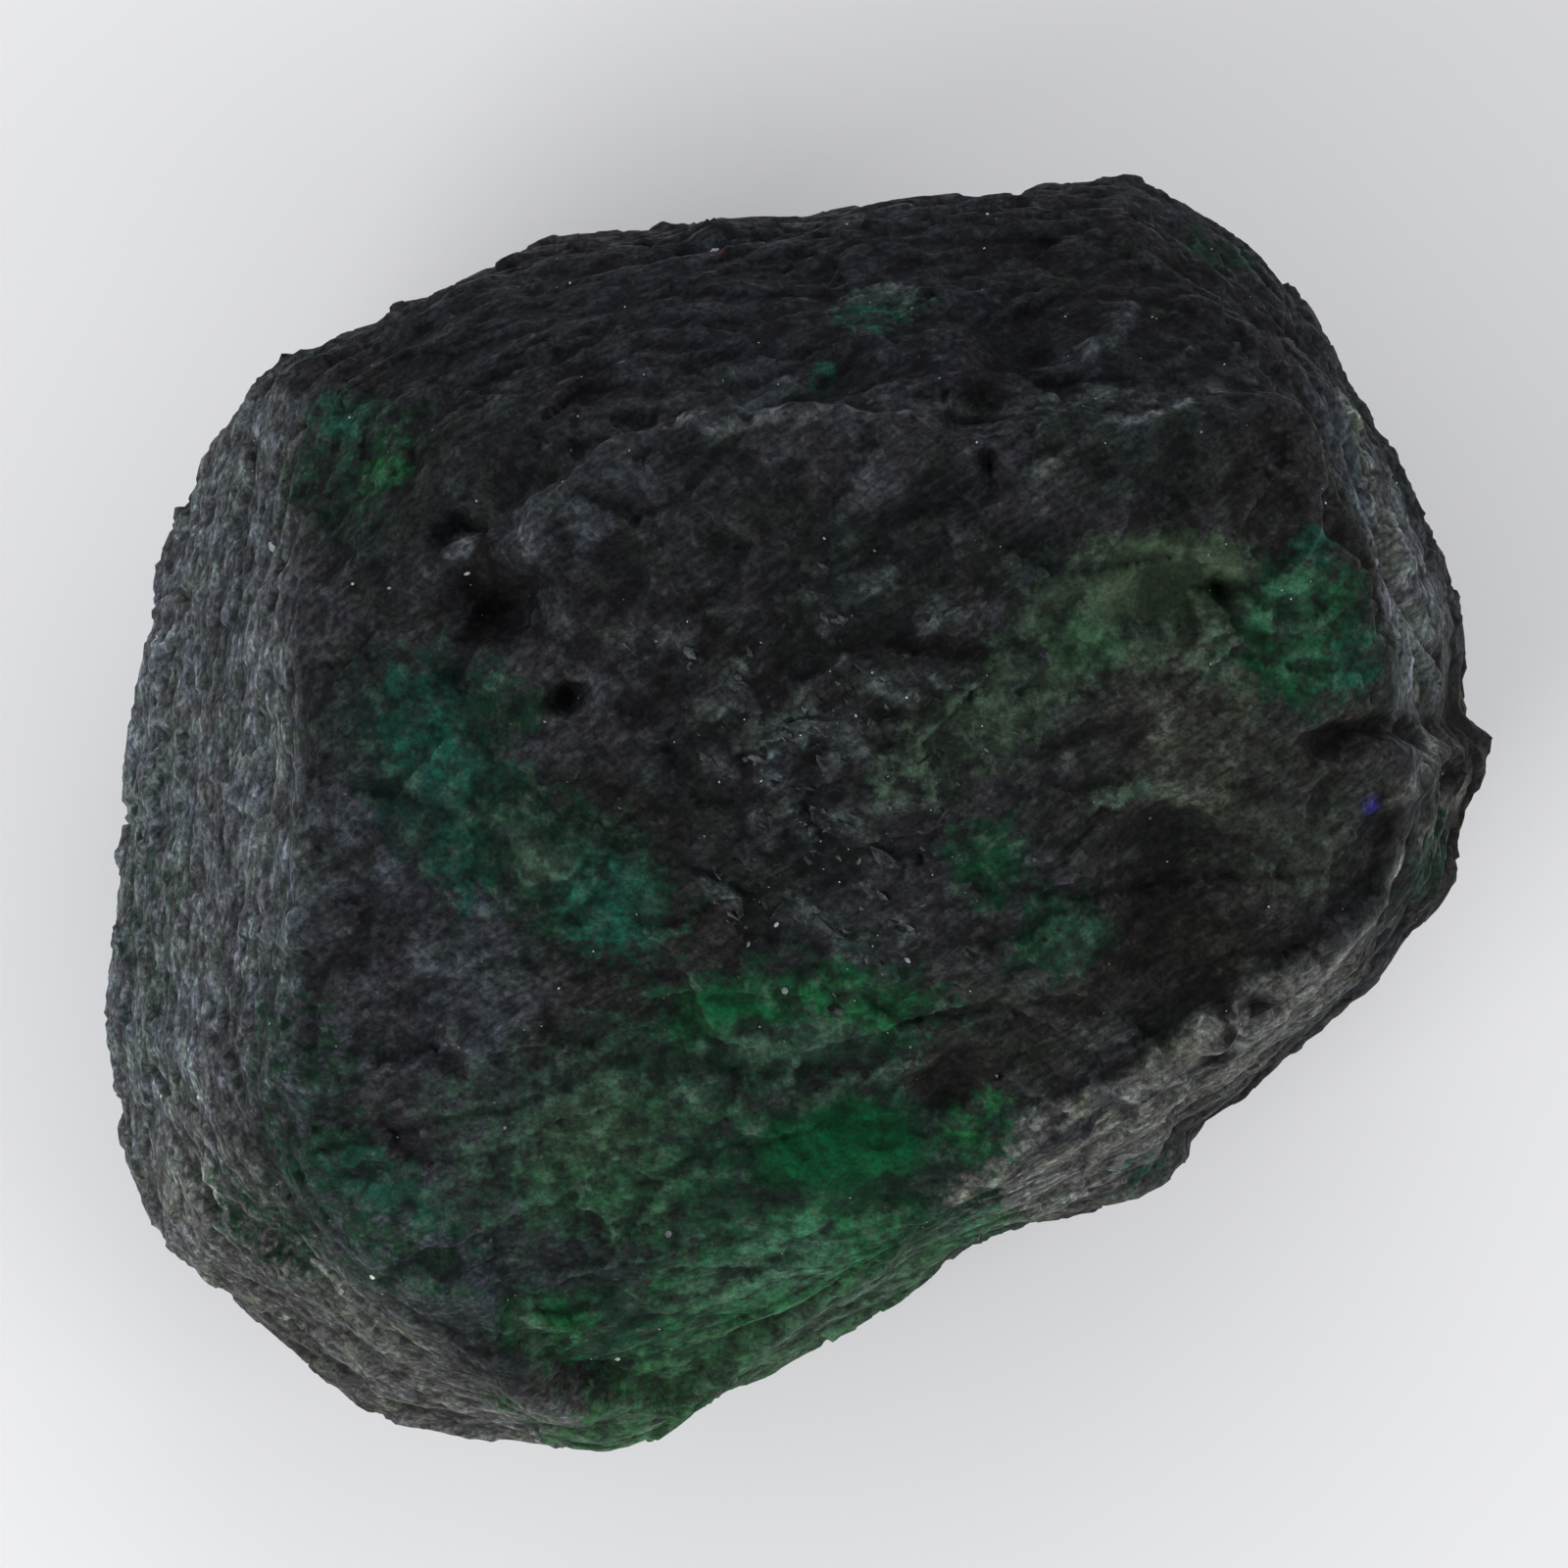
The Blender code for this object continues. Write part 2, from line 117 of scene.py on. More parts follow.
NORTH_SHOULDER = (
    (-19.3, 17.3, 20.5), (-13.2, 19.9, 22), (-5.7, 21.2, 23), (3.8, 22.6, 24), (12.5, 22.8, 24),
    (16.9, 20.1, 23), (20.3, 15.9, 22), (22.9, 9.7, 20), (24.1, 4.5, 18.5),
)
CROWN = (
    (-17.8, 8.2, 27), (-17.3, 2.6, 28), (-18.0, -2.3, 27.5), (-18.8, -8.7, 26), (-17.4, -13.0, 24.5),
    (-14.0, -17.9, 22), (-9.6, -21.4, 18.5), (-4.4, -22.0, 15.5), (1.3, -18.1, 18), (5.0, -14.4, 23.5),
    (8.6, -11.7, 25), (13.2, -9.0, 25.5), (16.5, -6.3, 26), (20.6, -4.4, 25), (22.5, -0.8, 24.5),
    (22.0, 4.7, 26), (20.6, 8.2, 28), (19.1, 11.6, 29.4), (17.0, 15.2, 30.2), (12.0, 15.3, 31.8),
    (2.7, 14.8, 32.5), (-6.1, 14.3, 31.2), (-11.7, 13.4, 29.4), (1.0, 4.0, 32),
)
LOW_CORNERS = (
    (-25.9, 4.1, 4), (-26.6, -8.4, 3.5), (-23.4, -15.1, 4.5), (-12.4, -22.5, 2.5), (-5.2, -22.7, 4.5),
    (2.4, -16.1, 3), (12.2, -12.7, 5), (22.4, -5.6, 3.5), (25.7, 3.1, 5.5), (22.9, 12.6, 3.5),
    (15.7, 21.7, 6.0), (1.3, 23.1, 7.0), (-9.7, 21.9, 5.5), (-19.7, 17.3, 5.0),
)
FOOT = (
    (-21.1, 12.6, -1.5), (-10.2, 19.1, -1.5), (2.3, 20.5, -1.5), (13.3, 18.9, -1.5), (19.8, 11.1, -1.5),
    (22.3, 3.6, -1.5), (18.9, -4.9, -1.5), (10.3, -10.7, -1.5), (0.3, -14.8, -1.5), (-7.2, -20.3, -1.5),
    (-15.2, -19.5, -1.5), (-22.7, -11.9, -1.5), (-24.1, -0.9, -1.5),
)
RINGS = (
    NORTH_SIDE, EAST_SIDE, SOUTH_EAST_SIDE, SOUTH_SIDE, WEST_SIDE,
    NORTH_SHOULDER, CROWN, LOW_CORNERS, FOOT,
)
print("corners:", sum(len(ring) for ring in RINGS))

# %% [markdown]
# The convex hull operator stretches a skin over all the corners at once, which gives the flat breaks
# without a list of faces. Corners that end up inside the skin are deleted, and the normals are turned out.

# %% Stretch the skin over the corners
def broken_body():
    """The stone's flat broken faces: the smallest closed body around all the corners."""
    body = bmesh.new()
    for ring in RINGS:
        for corner in ring:
            body.verts.new(Vector(corner) * MM)
    hull = bmesh.ops.convex_hull(body, input=body.verts)
    inside = [part for part in hull["geom_interior"] if isinstance(part, bmesh.types.BMVert)]
    bmesh.ops.delete(body, geom=inside, context="VERTS")
    bmesh.ops.recalc_face_normals(body, faces=body.faces)
    return body


body = broken_body()
print("broken faces:", len(body.faces))

# %% [markdown]
# Handling and transport wear a stone most at its edges. A bevel of under a millimetre does that,
# but only on edges that meet at a clear angle: the rest are dissolved, so they leave no line.

# %% Wear the edges
EDGE_WEAR = 0.9 * MM
NEARLY_FLAT = math.radians(3)
CLEAR_ANGLE = math.radians(9)

bmesh.ops.dissolve_limit(body, angle_limit=NEARLY_FLAT, verts=body.verts, edges=body.edges)
worn = [edge for edge in body.edges if edge.calc_face_angle(0) > CLEAR_ANGLE]
bmesh.ops.bevel(
    body,
    geom=worn,
    offset=EDGE_WEAR,
    segments=2,
    profile=0.5,
    affect="EDGES",
    material=-1,
    clamp_overlap=True,
)
print("faces after the wear:", len(body.faces))

# %% [markdown]
# Fine relief needs many even faces, and a bevelled hull has a few long ones. The Remesh modifier in
# voxel mode covers the body with a regular net.

# %% Lay an even net over the body
FINE_NET = 0.235 * MM


def as_mesh(body, name):
    """The shape of a bmesh as a new mesh. The bmesh is freed."""
    mesh = bpy.data.meshes.new(name)
    body.to_mesh(mesh)
    body.free()
    return mesh


def after_modifier(mesh, kind, **settings):
    """The mesh as one of the modifiers leaves it, as a new mesh."""
    holder = in_scene("holder", mesh)
    modifier = holder.modifiers.new(kind, kind)
    for setting, value in settings.items():
        setattr(modifier, setting, value)
    graph = bpy.context.evaluated_depsgraph_get()
    result = bpy.data.meshes.new_from_object(holder.evaluated_get(graph))
    bpy.data.objects.remove(holder)
    return result


net = FINE_NET
stone_mesh = after_modifier(as_mesh(body, "body"), "REMESH", mode="VOXEL", voxel_size=net)
print("points in the net:", len(stone_mesh.vertices))

# %% [markdown]
# From here the relief is worked out for all points at once, as arrays in millimetres.
# Two kinds of noise do most of it. Smooth noise gives bumps. A Voronoi pattern, where every cell is a
# small plane with its own slope, gives the flat chips that a brittle rock shows.

# %% Bumps and chips
# The schist's layers lie nearly level and rise a little to the north
LAYER_UP = Vector((0.06, -0.20, 0.98)).normalized()
LAYER_RUN = Vector((0.96, 0.25, 0.0)).normalized()
# A chip is longest along the layers and thin across them
CHIP_LENGTH = 1.7
CHIP_THINNESS = 1.4
# Each seed moves its pattern by this much, so that no two patterns are the same
SEED_STEP = 17.3
CELL_SEED_STEP = 11.9
SLOPE_SEED = 9.7


def bumps(places, size, seed):
    """Smooth bumps of about the given size in millimetres, from about -1 to 1."""
    shifted = places / size + SEED_STEP * seed
    return np.array([noise.noise(place) for place in shifted.tolist()])


def chips(places, size, seed):
    """Flat breaks, longest along the layers: every cell of the pattern is a plane with its own slope."""
    upright = LAYER_RUN.cross(LAYER_UP).normalized()
    axes = np.array((LAYER_RUN / CHIP_LENGTH, upright, LAYER_UP * CHIP_THINNESS))
    slopes = []
    for place in (places @ axes.T / size + CELL_SEED_STEP * seed).tolist():
        middle = noise.voronoi(place)[1][0]
        slope = noise.cell_vector(middle * SLOPE_SEED) * 2 - Vector((1, 1, 1))
        slopes.append((Vector(place) - middle).dot(slope))
    return np.array(slopes) * size


corner_places = np.array([corner for ring in RINGS for corner in ring])
print("bumps at the corners, up to:", round(bumps(corner_places, 1.0, 0).max(), 2))

# %% [markdown]
# Schist splits in thin layers. Where a side cuts across them, their edges stand out one above the other,
# and where the surface runs along them, they end in irregular terraces. A saw-tooth along the layers'
# own upright direction gives both at once, because the surface itself decides how it crosses them.

# %% Layer edges
# A worn layer rises over most of its pitch and falls over the rest; its ridges are longer than high
FALL_STARTS = 0.7
FOLIATION_STRETCH = 3.0
FOLIATION_BEND = 3.5
RIDGE_SHARPNESS = 2.6
# The layers bend slowly, and a little more quickly: how far, in centimetres, and over how many millimetres
SLOW_BEND = (0.20, 13)
QUICK_BEND = (0.05, 4)
CENTIMETRE = 10


def smooth_step(share):
    """A share from 0 to 1, eased at both ends."""
    share = np.clip(share, 0, 1)
    return share * share * (3 - 2 * share)


def layers(places, pitch, seed):
    """The worn edges of the layers: a slow rise to 0.5 at the top of each, then a quick fall to -0.5."""
    slow = SLOW_BEND[0] * bumps(places, SLOW_BEND[1], seed)
    bend = slow + QUICK_BEND[0] * bumps(places, QUICK_BEND[1], seed + 1)
    height = places @ np.array(LAYER_UP) + bend * CENTIMETRE
    share = (height / pitch) % 1.0
    fall = smooth_step((share - FALL_STARTS) / (1 - FALL_STARTS))
    return np.where(share < FALL_STARTS, share / FALL_STARTS, 1 - fall) - 0.5


def foliation(places, rise, seed):
    """Wavy ridges along the layers that part and join again, from about -1 between them to 1 on top."""
    along = places @ np.array(LAYER_RUN)
    across = places @ np.array(LAYER_RUN.cross(LAYER_UP))
    up = places @ np.array(LAYER_UP) + 0.5 * bumps(places, FOLIATION_BEND, seed + 1)
    length = FOLIATION_STRETCH * rise
    flattened = np.stack((along / length, across / length, up / rise), axis=1)
    return 1 - RIDGE_SHARPNESS * np.abs(bumps(flattened, 1.0, seed))


print("ridges at the corners, up to:", round(foliation(corner_places, 1.0, 0).max(), 2))

# %% [markdown]
# Some places on this stone can be pointed at: a long ledge under the northern slope, a slab at the
# north-east, a knob that stands off the east side, a cave under the ledge, holes in the south-east band.
# Each has a name, its place on the stone and its real size, so that any of them can be moved alone.

# %% Ledges, grooves and ridges
# A ledge has its drop, the reach of its slopes and its line. The ground drops on the line's right.
LEDGES = {
    "north ledge": (1.0, 4.6, ((1.7, 14.8, 31.8), (-3.4, 14.7, 30.9), (-6.1, 13.8, 31.2), (-9.0, 11.8, 30))),
    "north ledge, east": (
        0.9, 4.6, ((16.5, 15.4, 30), (11.2, 15.1, 31.5), (5.9, 14.1, 32.3), (1.7, 14.8, 31.8)),
    ),
    "north shingle": (0.6, 3.0, ((11.6, 14.0, 32), (9.7, 13.3, 32), (8.3, 12.4, 32.1), (5.2, 11.6, 32.2))),
    "south arc": (
        1.1, 4.6, ((1.4, -18.6, 17.5), (-1.4, -20.2, 16.3), (-4.5, -22.2, 14.5), (-8.3, -21.9, 17)),
    ),
    "south arc, west": (0.9, 4.0, ((-8.3, -21.9, 17), (-10.5, -19.8, 20), (-11.2, -17.6, 22))),
    "slab, west side": (0.7, 3.6, ((14.3, 14.0, 31.2), (14.0, 11.6, 30.8), (14.2, 9.4, 30.1))),
    "slab, south side": (0.6, 3.0, ((14.2, 9.4, 30.1), (16.6, 8.6, 29.6), (18.9, 8.9, 28.9))),
    "east lamella": (0.8, 3.4, ((20.8, 14.2, 22.5), (22.4, 10.6, 21.8), (24.2, 6.8, 19.6), (25.2, 3.4, 17))),
    "south-west lamina": (
        0.7, 3.2, ((-16.2, -19.6, 17), (-17.6, -18.6, 17), (-20.0, -16.3, 17), (-23.6, -13.6, 14.5)),
    ),
    "knob, north side": (0.9, 4.0, ((24.8, 4.4, 4), (27.6, 3.9, 10), (25.4, 3.7, 18), (22.4, 3.5, 26))),
    "chunk, west side": (0.8, 3.6, ((15.9, -12.4, 10.4), (14.8, -12.6, 12.3), (14.6, -11.2, 16.8))),
    "holes' brow": (0.7, 2.6, ((18.6, -5.6, 25), (16.6, -6.2, 25.9), (14.4, -7.4, 25.8), (12.2, -9.0, 25.6))),
}
# A groove has half its width, its depth and its line.
GROOVES = {
    "east fissure": (0.55, 0.9, ((18.4, 14.1, 28), (19.4, 10.9, 29.1), (20.3, 9.9, 27.4), (21.1, 7.9, 26.7))),
    "east fissure, outer": (0.5, 0.8, ((21.8, 11.3, 22.7), (23.2, 8.6, 21), (24.7, 6.4, 17.7))),
    "south-west groove": (0.6, 0.7, ((-19.4, -15.4, 19), (-18.2, -16.8, 18.6), (-16.6, -18.2, 18.4))),
    "slit over the knob": (
        0.5, 0.9, ((18.9, 3.6, 27.4), (20.4, 3.5, 26.8), (21.7, 3.6, 25.9), (23.0, 3.4, 22.6)),
    ),
    "middle slit": (0.4, 0.3, ((9.4, 1.8, 29.6), (10.4, 1.8, 29.3), (11.6, 2.2, 29))),
    "crescent": (0.6, 0.7, ((11.4, -10.2, 25), (12.0, -10.1, 24.7), (12.7, -9.8, 24.2))),
    "slit under the holes": (0.5, 0.6, ((15.2, -8.2, 24.1), (16.0, -8.3, 22.4), (16.8, -8.2, 21.2))),
}
# A ridge has its reach, its height and its line.
RIDGES = {
    "south-east rim": (
        1.3, 0.6, ((4.6, -14.4, 23.2), (8.4, -11.9, 24.8), (12.0, -9.6, 25.4), (15.2, -7.4, 25.8)),
    ),
    "rim over the holes": (
        1.1, 0.5, ((15.2, -7.4, 25.8), (16.7, -6.0, 26), (19.6, -4.9, 25.2), (21.5, -2.7, 24.6)),
    ),
    "knob crest": (0.8, 0.35, ((22.0, 1.2, 25.1), (23.4, 2.2, 22.1), (24.6, 3.2, 18.8))),
    "south-west rim": (
        0.9, 0.4, ((-23.2, -13.2, 16.8), (-21.6, -15.2, 16.4), (-19.2, -17.0, 17.0), (-16.6, -18.4, 17.6)),
    ),
    "east band rim": (
        0.9, 0.35, ((21.2, 15.6, 18.6), (21.9, 12.6, 21.0), (22.8, 9.4, 21.2), (23.4, 6.4, 21.6)),
    ),
    "north slab edge": (
        0.8, 0.3, ((8.3, 16.5, 30.5), (10.4, 17.1, 29.9), (11.6, 18.0, 28.9), (12.0, 19.1, 27.7)),
    ),
    "north shingle rim": (0.7, 0.25, ((10.6, 14.0, 31.6), (12.6, 14.8, 31.0), (13.8, 15.4, 31.0))),
}
print("named lines:", len(LEDGES) + len(GROOVES) + len(RIDGES))

# %% [markdown]
# Pits and lumps are round forms, so each needs only a middle. A pit is where a grain or a chip fell out,
# and a lump is harder rock or crystal that wore down less. Wide shallow ones hollow out a whole flank.

# %% Pits and lumps
# A pit has its place, its reach and its depth.
PITS = {
    "north-west pit": ((-12.0, 11.0, 29.4), 1.2, 0.9),
    "west hollow": ((-10.6, 8.2, 29.9), 2.6, 1.3),
    "west pit": ((-12.4, 6.0, 29.3), 1.2, 0.7),
    "middle pit": ((-8.3, 4.9, 30.1), 1.0, 1.1),
    "north pit": ((-5.7, 14.8, 30.3), 0.9, 0.8),
    "ledge cave": ((6.5, 15.3, 31.7), 1.8, 1.2),
    "brown hollow": ((8.4, 17.2, 29.8), 2.6, 0.8),
    "square pit": ((7.0, 13.2, 32.2), 0.8, 0.7),
    "chip scar": ((15.0, 8.5, 29.8), 0.9, 0.8),
    "big hole": ((17.0, -6.6, 25.2), 1.2, 1.3),
    "small hole": ((16.0, -7.5, 24.5), 1.0, 1.0),
    "far hole": ((18.2, -6.6, 23.1), 0.9, 0.7),
    "low hollow": ((14.0, -2.6, 27.5), 4.6, 0.9),
    "dark hollow": ((13.6, 0.2, 28.2), 2.2, 0.5),
    "dark middle": ((5.8, -9.2, 26), 1.8, 0.6),
    "south-west spot": ((-12.5, -8.3, 26.5), 1.2, 0.5),
    "north dip": ((0.0, 24.0, 17.6), 4.5, 0.6),
    "south-east dip": ((7.3, -16.7, 10.3), 4.8, 1.1),
}
# A lump has its place, its reach and its height.
LUMPS = {
    "arc brow": ((-9.4, 9.9, 30.3), 1.5, 0.5),
    "pale chip": ((15.7, 9.6, 30), 0.9, 0.5),
    "knob": ((26.6, 2.8, 12.0), 3.6, 0.6),
    "knob foot": ((26.0, -2.2, 12), 3.4, 0.6),
    "wedge crystal": ((-9.0, -1.2, 29), 1.5, 0.5),
    "olive lump": ((12.4, 5.6, 29.7), 3.4, 0.5),
    "green lens": ((1.2, -12.1, 24.8), 2.6, 0.5),
    "south crystal": ((-8.6, -18.4, 21), 2.6, 0.6),
    "south-east chunk": ((13.6, -13.7, 10.8), 3.0, 0.5),
    "north bump": ((-3.1, 22.7, 20.2), 1.4, 0.5),
}
print("named pits and lumps:", len(PITS) + len(LUMPS))

# %% [markdown]
# A named form reaches a little way around its place or its line and fades out there, so each point needs
# its distance from them. A ledge also asks which side of its line a point lies on.

# %% Distances from places and lines
def push(places, size, seeds):
    """Three noises of one size, one each for the east, the north and the height."""
    return np.stack([bumps(places, size, seed) for seed in seeds], axis=1)


def fade(distance, reach):
    """1 at the place itself, falling smoothly to 0 at its reach."""
    return smooth_step(1 - distance / reach)


def around(places, place, reach):
    """1 at one place, falling smoothly to 0 at its reach around it."""
    return fade(np.linalg.norm(places - np.array(place), axis=1), reach)


def from_line(places, outward, line):
    """How far each place is from a line of points, and how far it is to the line's right."""
    nearest = np.full(len(places), np.inf)
    right = np.zeros(len(places))
    points = np.array(line)
    for start, end in zip(points[:-1], points[1:]):
        along = end - start
        if not along.any():
            continue
        share = np.clip((places - start) @ along / (along @ along), 0, 1)
        away = places - start - share[:, None] * along
        distance = np.linalg.norm(away, axis=1)
        sideways = np.cross(along / np.linalg.norm(along), outward)
        closer = distance < nearest
        nearest = np.where(closer, distance, nearest)
        right = np.where(closer, (away * sideways).sum(axis=1), right)
    return nearest, right


print("corners near the brow of the arc:", int((around(corner_places, *LUMPS["arc brow"][:2]) > 0).sum()))

# %% [markdown]
# Drawn straight, the named forms would look cut by a tool. So noise pushes the points about before they
# are asked how far away they are: broad noise makes a line wander, and fine noise tears it.

# %% Relief of the named places
# How far the named forms are bent and torn out of a straight line, in millimetres, and over what length
RAGGED = (0.55, 2.4)
TORN = (0.25, 0.9)
LEDGE_DROPS_WITHIN = 0.45


def named_relief(places, outward):
    """The ledges, grooves, ridges, pits and lumps that have names, in millimetres."""
    ragged = push(places, RAGGED[1], (31, 32, 33))
    torn = push(places, TORN[1], (34, 35, 36))
    places = places + RAGGED[0] * ragged + TORN[0] * torn
    relief = np.zeros(len(places))
    for drop, reach, line in LEDGES.values():
        nearest, right = from_line(places, outward, line)
        step = np.clip(right / LEDGE_DROPS_WITHIN, -1, 1)
        relief -= 0.5 * drop * step * fade(nearest, reach)
    for half_width, depth, line in GROOVES.values():
        relief -= depth * fade(from_line(places, outward, line)[0], 2 * half_width)
    for reach, height, line in RIDGES.values():
        relief += height * fade(from_line(places, outward, line)[0], reach)
    for place, reach, depth in PITS.values():
        relief -= depth * around(places, place, reach)
    for place, reach, height in LUMPS.values():
        relief += height * around(places, place, reach)
    return relief


print("deepest named pit, in mm:", max(depth for place, reach, depth in PITS.values()))

# %% [markdown]
# The whole relief is a sum, from the broad lumps down to threads a fraction of a millimetre wide.
# These larger terms are the ones that the plain solid has too, so its outline stays.

# %% Relief that the solid has too
# Each kind of form has its height and its size in millimetres
BROAD_LUMPS = (0.40, 15)
SMALL_LUMPS = (0.24, 4.5)
WAVY_RIDGES = (0.22, 2.2)
WIDE_CHIPS = (0.035, 6.0)
SMALL_CHIPS = (0.10, 2.7)
LAYER_PITCH = 3.4
LAYER_EDGE = 0.08
LAYER_EDGE_AT_SIDES = 0.22
LAYER_PATCHES = 7
FAINTEST_LAYER = 0.1


def across_layers(outward):
    """How steeply the surface cuts across the layers: 0 along them, 1 straight across."""
    return 1 - np.abs(outward @ np.array(LAYER_UP))


def natural_relief(places, outward):
    """The broad lumps, layer edges and chips that cover the whole stone, in millimetres."""
    sideways = across_layers(outward)
    patches = np.clip(0.5 + bumps(places, LAYER_PATCHES, 3), FAINTEST_LAYER, 1)
    layer_edge = LAYER_EDGE + LAYER_EDGE_AT_SIDES * sideways
    relief = BROAD_LUMPS[0] * bumps(places, BROAD_LUMPS[1], 1)
    relief += SMALL_LUMPS[0] * bumps(places, SMALL_LUMPS[1], 6)
    relief += layer_edge * patches * layers(places, LAYER_PITCH, 5)
    relief += WAVY_RIDGES[0] * sideways * foliation(places, WAVY_RIDGES[1], 8)
    relief += WIDE_CHIPS[0] * chips(places, WIDE_CHIPS[1], 2)
    relief += SMALL_CHIPS[0] * chips(places, SMALL_CHIPS[1], 4)
    return relief


print("heights of the larger forms, in mm:", BROAD_LUMPS[0], SMALL_LUMPS[0], WAVY_RIDGES[0], SMALL_CHIPS[0])

# %% [markdown]
# The finer terms are only here: small chips, thin threads and bumps under two millimetres. A rough zone
# in the middle of the crown, where blades of crystal stand on edge, gets more chips than the rest, and so
# do steep sides and the northern slope. The chips' points are clipped, because sharp ones look like thorns.

# %% Finer relief
BLADED_MIDDLE = (0.5, 2.5, 31)
BLADED_REACH = 8.0
NORTH_SOON = 1.5
# A chip's deepest and highest point, as shares of its size
CHIP_DEEPEST = 0.9
CHIP_HIGHEST = 0.45
# Fine chips have their height all over, then how much more in the middle, on steep sides and to the north
FINE_CHIPS = (0.07, 0.10, 0.13, 0.08)
FINER_CHIPS = (0.07, 0.10, 0.05, 0.03)
FINE_CHIP_SIZE = 1.6
FINER_CHIP_SIZE = 0.8
# Chips come in patches: their middle, how much they vary, their size, and the least that any place has
CHIP_PATCHES = (0.6, 1.4, 5, 0.15)
THREADS = (0.065, 0.95)
FINE_BUMPS = (0.07, 1.6)
FINE_BUMPS_AT_SIDES = 0.04
FINER_BUMPS = (0.04, 0.7)


def blunt_chips(places, size, seed):
    """Flat breaks with their sharp points worn off, so that none stands out like a thorn."""
    return np.clip(chips(places, size, seed), -CHIP_DEEPEST * size, CHIP_HIGHEST * size)


def fine_relief(places, outward):
    """The thin layers, small chips and threads, in millimetres."""
    sideways = across_layers(outward)
    northward = np.clip(NORTH_SOON * outward[:, 1], 0, 1)
    bladed = around(places, BLADED_MIDDLE, BLADED_REACH)
    middle, change, size, least = CHIP_PATCHES
    patches = np.clip(middle + change * bumps(places, size, 13), least, 1)

    def height(everywhere, more_in_middle, more_on_sides, more_to_north):
        """How high the chips are, in millimetres."""
        return everywhere + more_in_middle * bladed + more_on_sides * sideways + more_to_north * northward

    relief = THREADS[0] * sideways * foliation(places, THREADS[1], 18)
    relief += height(*FINE_CHIPS) * patches * blunt_chips(places, FINE_CHIP_SIZE, 14)
    relief += height(*FINER_CHIPS) * blunt_chips(places, FINER_CHIP_SIZE, 15)
    fine_bumps = (FINE_BUMPS[0] + FINE_BUMPS_AT_SIDES * sideways) * bumps(places, FINE_BUMPS[1], 19)
    relief += fine_bumps + FINER_BUMPS[0] * bumps(places, FINER_BUMPS[1], 17)
    return relief


print("heights of the finest forms, in mm:", THREADS[0], FINE_BUMPS[0], FINER_BUMPS[0])

# %% [markdown]
# Now every point moves out or in along its own normal by the sum. The sum is capped, so that forms that
# happen to meet make neither a spike nor a hole right through.

# %% Move the surface
# The deepest and the highest that the whole relief may go, in millimetres
DEEPEST = -2.4
HIGHEST = 1.9


def read_rows(items, name):
    """One vector of each item of a mesh, as the rows of an array."""
    rows = np.empty(3 * len(items))
    items.foreach_get(name, rows)
    return rows.reshape(-1, 3)


def work_surface(mesh):
    """Move every point of the surface out or in by its relief."""
    places = read_rows(mesh.vertices, "co") / MM
    outward = read_rows(mesh.vertex_normals, "vector")
    relief = natural_relief(places, outward) + named_relief(places, outward) + fine_relief(places, outward)
    moved = places + np.clip(relief, DEEPEST, HIGHEST)[:, None] * outward
    mesh.vertices.foreach_set("co", (moved * MM).ravel())
    mesh.update()
    return relief


relief = work_surface(stone_mesh)
print("relief, in mm, from", round(relief.min(), 2), "to", round(relief.max(), 2))

# %% [markdown]
# The net is finer than the finished piece may be, so the Decimate modifier collapses edges where the
# surface is plain and keeps them where it turns. Then the foot is cut off level, because the stone rests
# on a flat break, and the whole is brought to exactly the size of the solid in the frame.

# %% Thin the net, cut the foot and fit the size
MOST_TRIANGLES = 192000
SMALLEST_EDGE = 0.005 * MM


def thin_out(mesh, most):
    """Drop the triangles that the shape can do without, down to the given number."""
    mesh.calc_loop_triangles()
    ratio = min(1.0, most / len(mesh.loop_triangles))
    return after_modifier(mesh, "DECIMATE", ratio=ratio, use_collapse_triangulate=True)


def break_flat(mesh):
    """Cut the foot off level, which is the face that the stone rests on."""
    body = bmesh.new()
    body.from_mesh(mesh)
    everything = body.verts[:] + body.edges[:] + body.faces[:]
    cut = bmesh.ops.bisect_plane(
        body,
        geom=everything,
        dist=SMALLEST_EDGE,
        plane_co=(0, 0, 0),
        plane_no=(0, 0, -1),
        clear_outer=True,
    )
    rim = [part for part in cut["geom_cut"] if isinstance(part, bmesh.types.BMEdge)]
    bmesh.ops.holes_fill(body, edges=rim, sides=0)
    bmesh.ops.triangulate(body, faces=body.faces)
    bmesh.ops.recalc_face_normals(body, faces=body.faces)
    body.to_mesh(mesh)
    body.free()


def fit_to_box(mesh, low, high):
    """Bring the mesh to exactly the box between two corners."""
    points = read_rows(mesh.vertices, "co")
    own_low = points.min(axis=0)
    own_high = points.max(axis=0)
    shares = (points - own_low) / (own_high - own_low)
    fitted = np.array(low) + shares * (np.array(high) - np.array(low))
    mesh.vertices.foreach_set("co", fitted.ravel())
    mesh.update()


stone_mesh = thin_out(stone_mesh, MOST_TRIANGLES)
break_flat(stone_mesh)
stone_low, stone_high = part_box("emerald_stone")
fit_to_box(stone_mesh, stone_low, stone_high)
stone_mesh.name = "schist_and_beryl"
stone_mesh.shade_smooth()
stone = in_scene("schist_and_beryl", stone_mesh)
stone_mesh.calc_loop_triangles()
print("triangles in the stone:", len(stone_mesh.loop_triangles))

# %% [markdown]
# Now the stone's finish. Each shader pattern reads Object coordinates turned into millimetres, so that
# one unit of a pattern is one millimetre of rock from every side and at every edge.
# Small helpers keep the node code short. The first ones add a node, set its inputs and link its sockets.

# %% Helpers that add and link nodes
def feed(tree, value, socket):
    """Link a socket, or set a plain value."""
    if isinstance(value, bpy.types.NodeSocket):
        tree.links.new(value, socket)
    else:
        socket.default_value = value


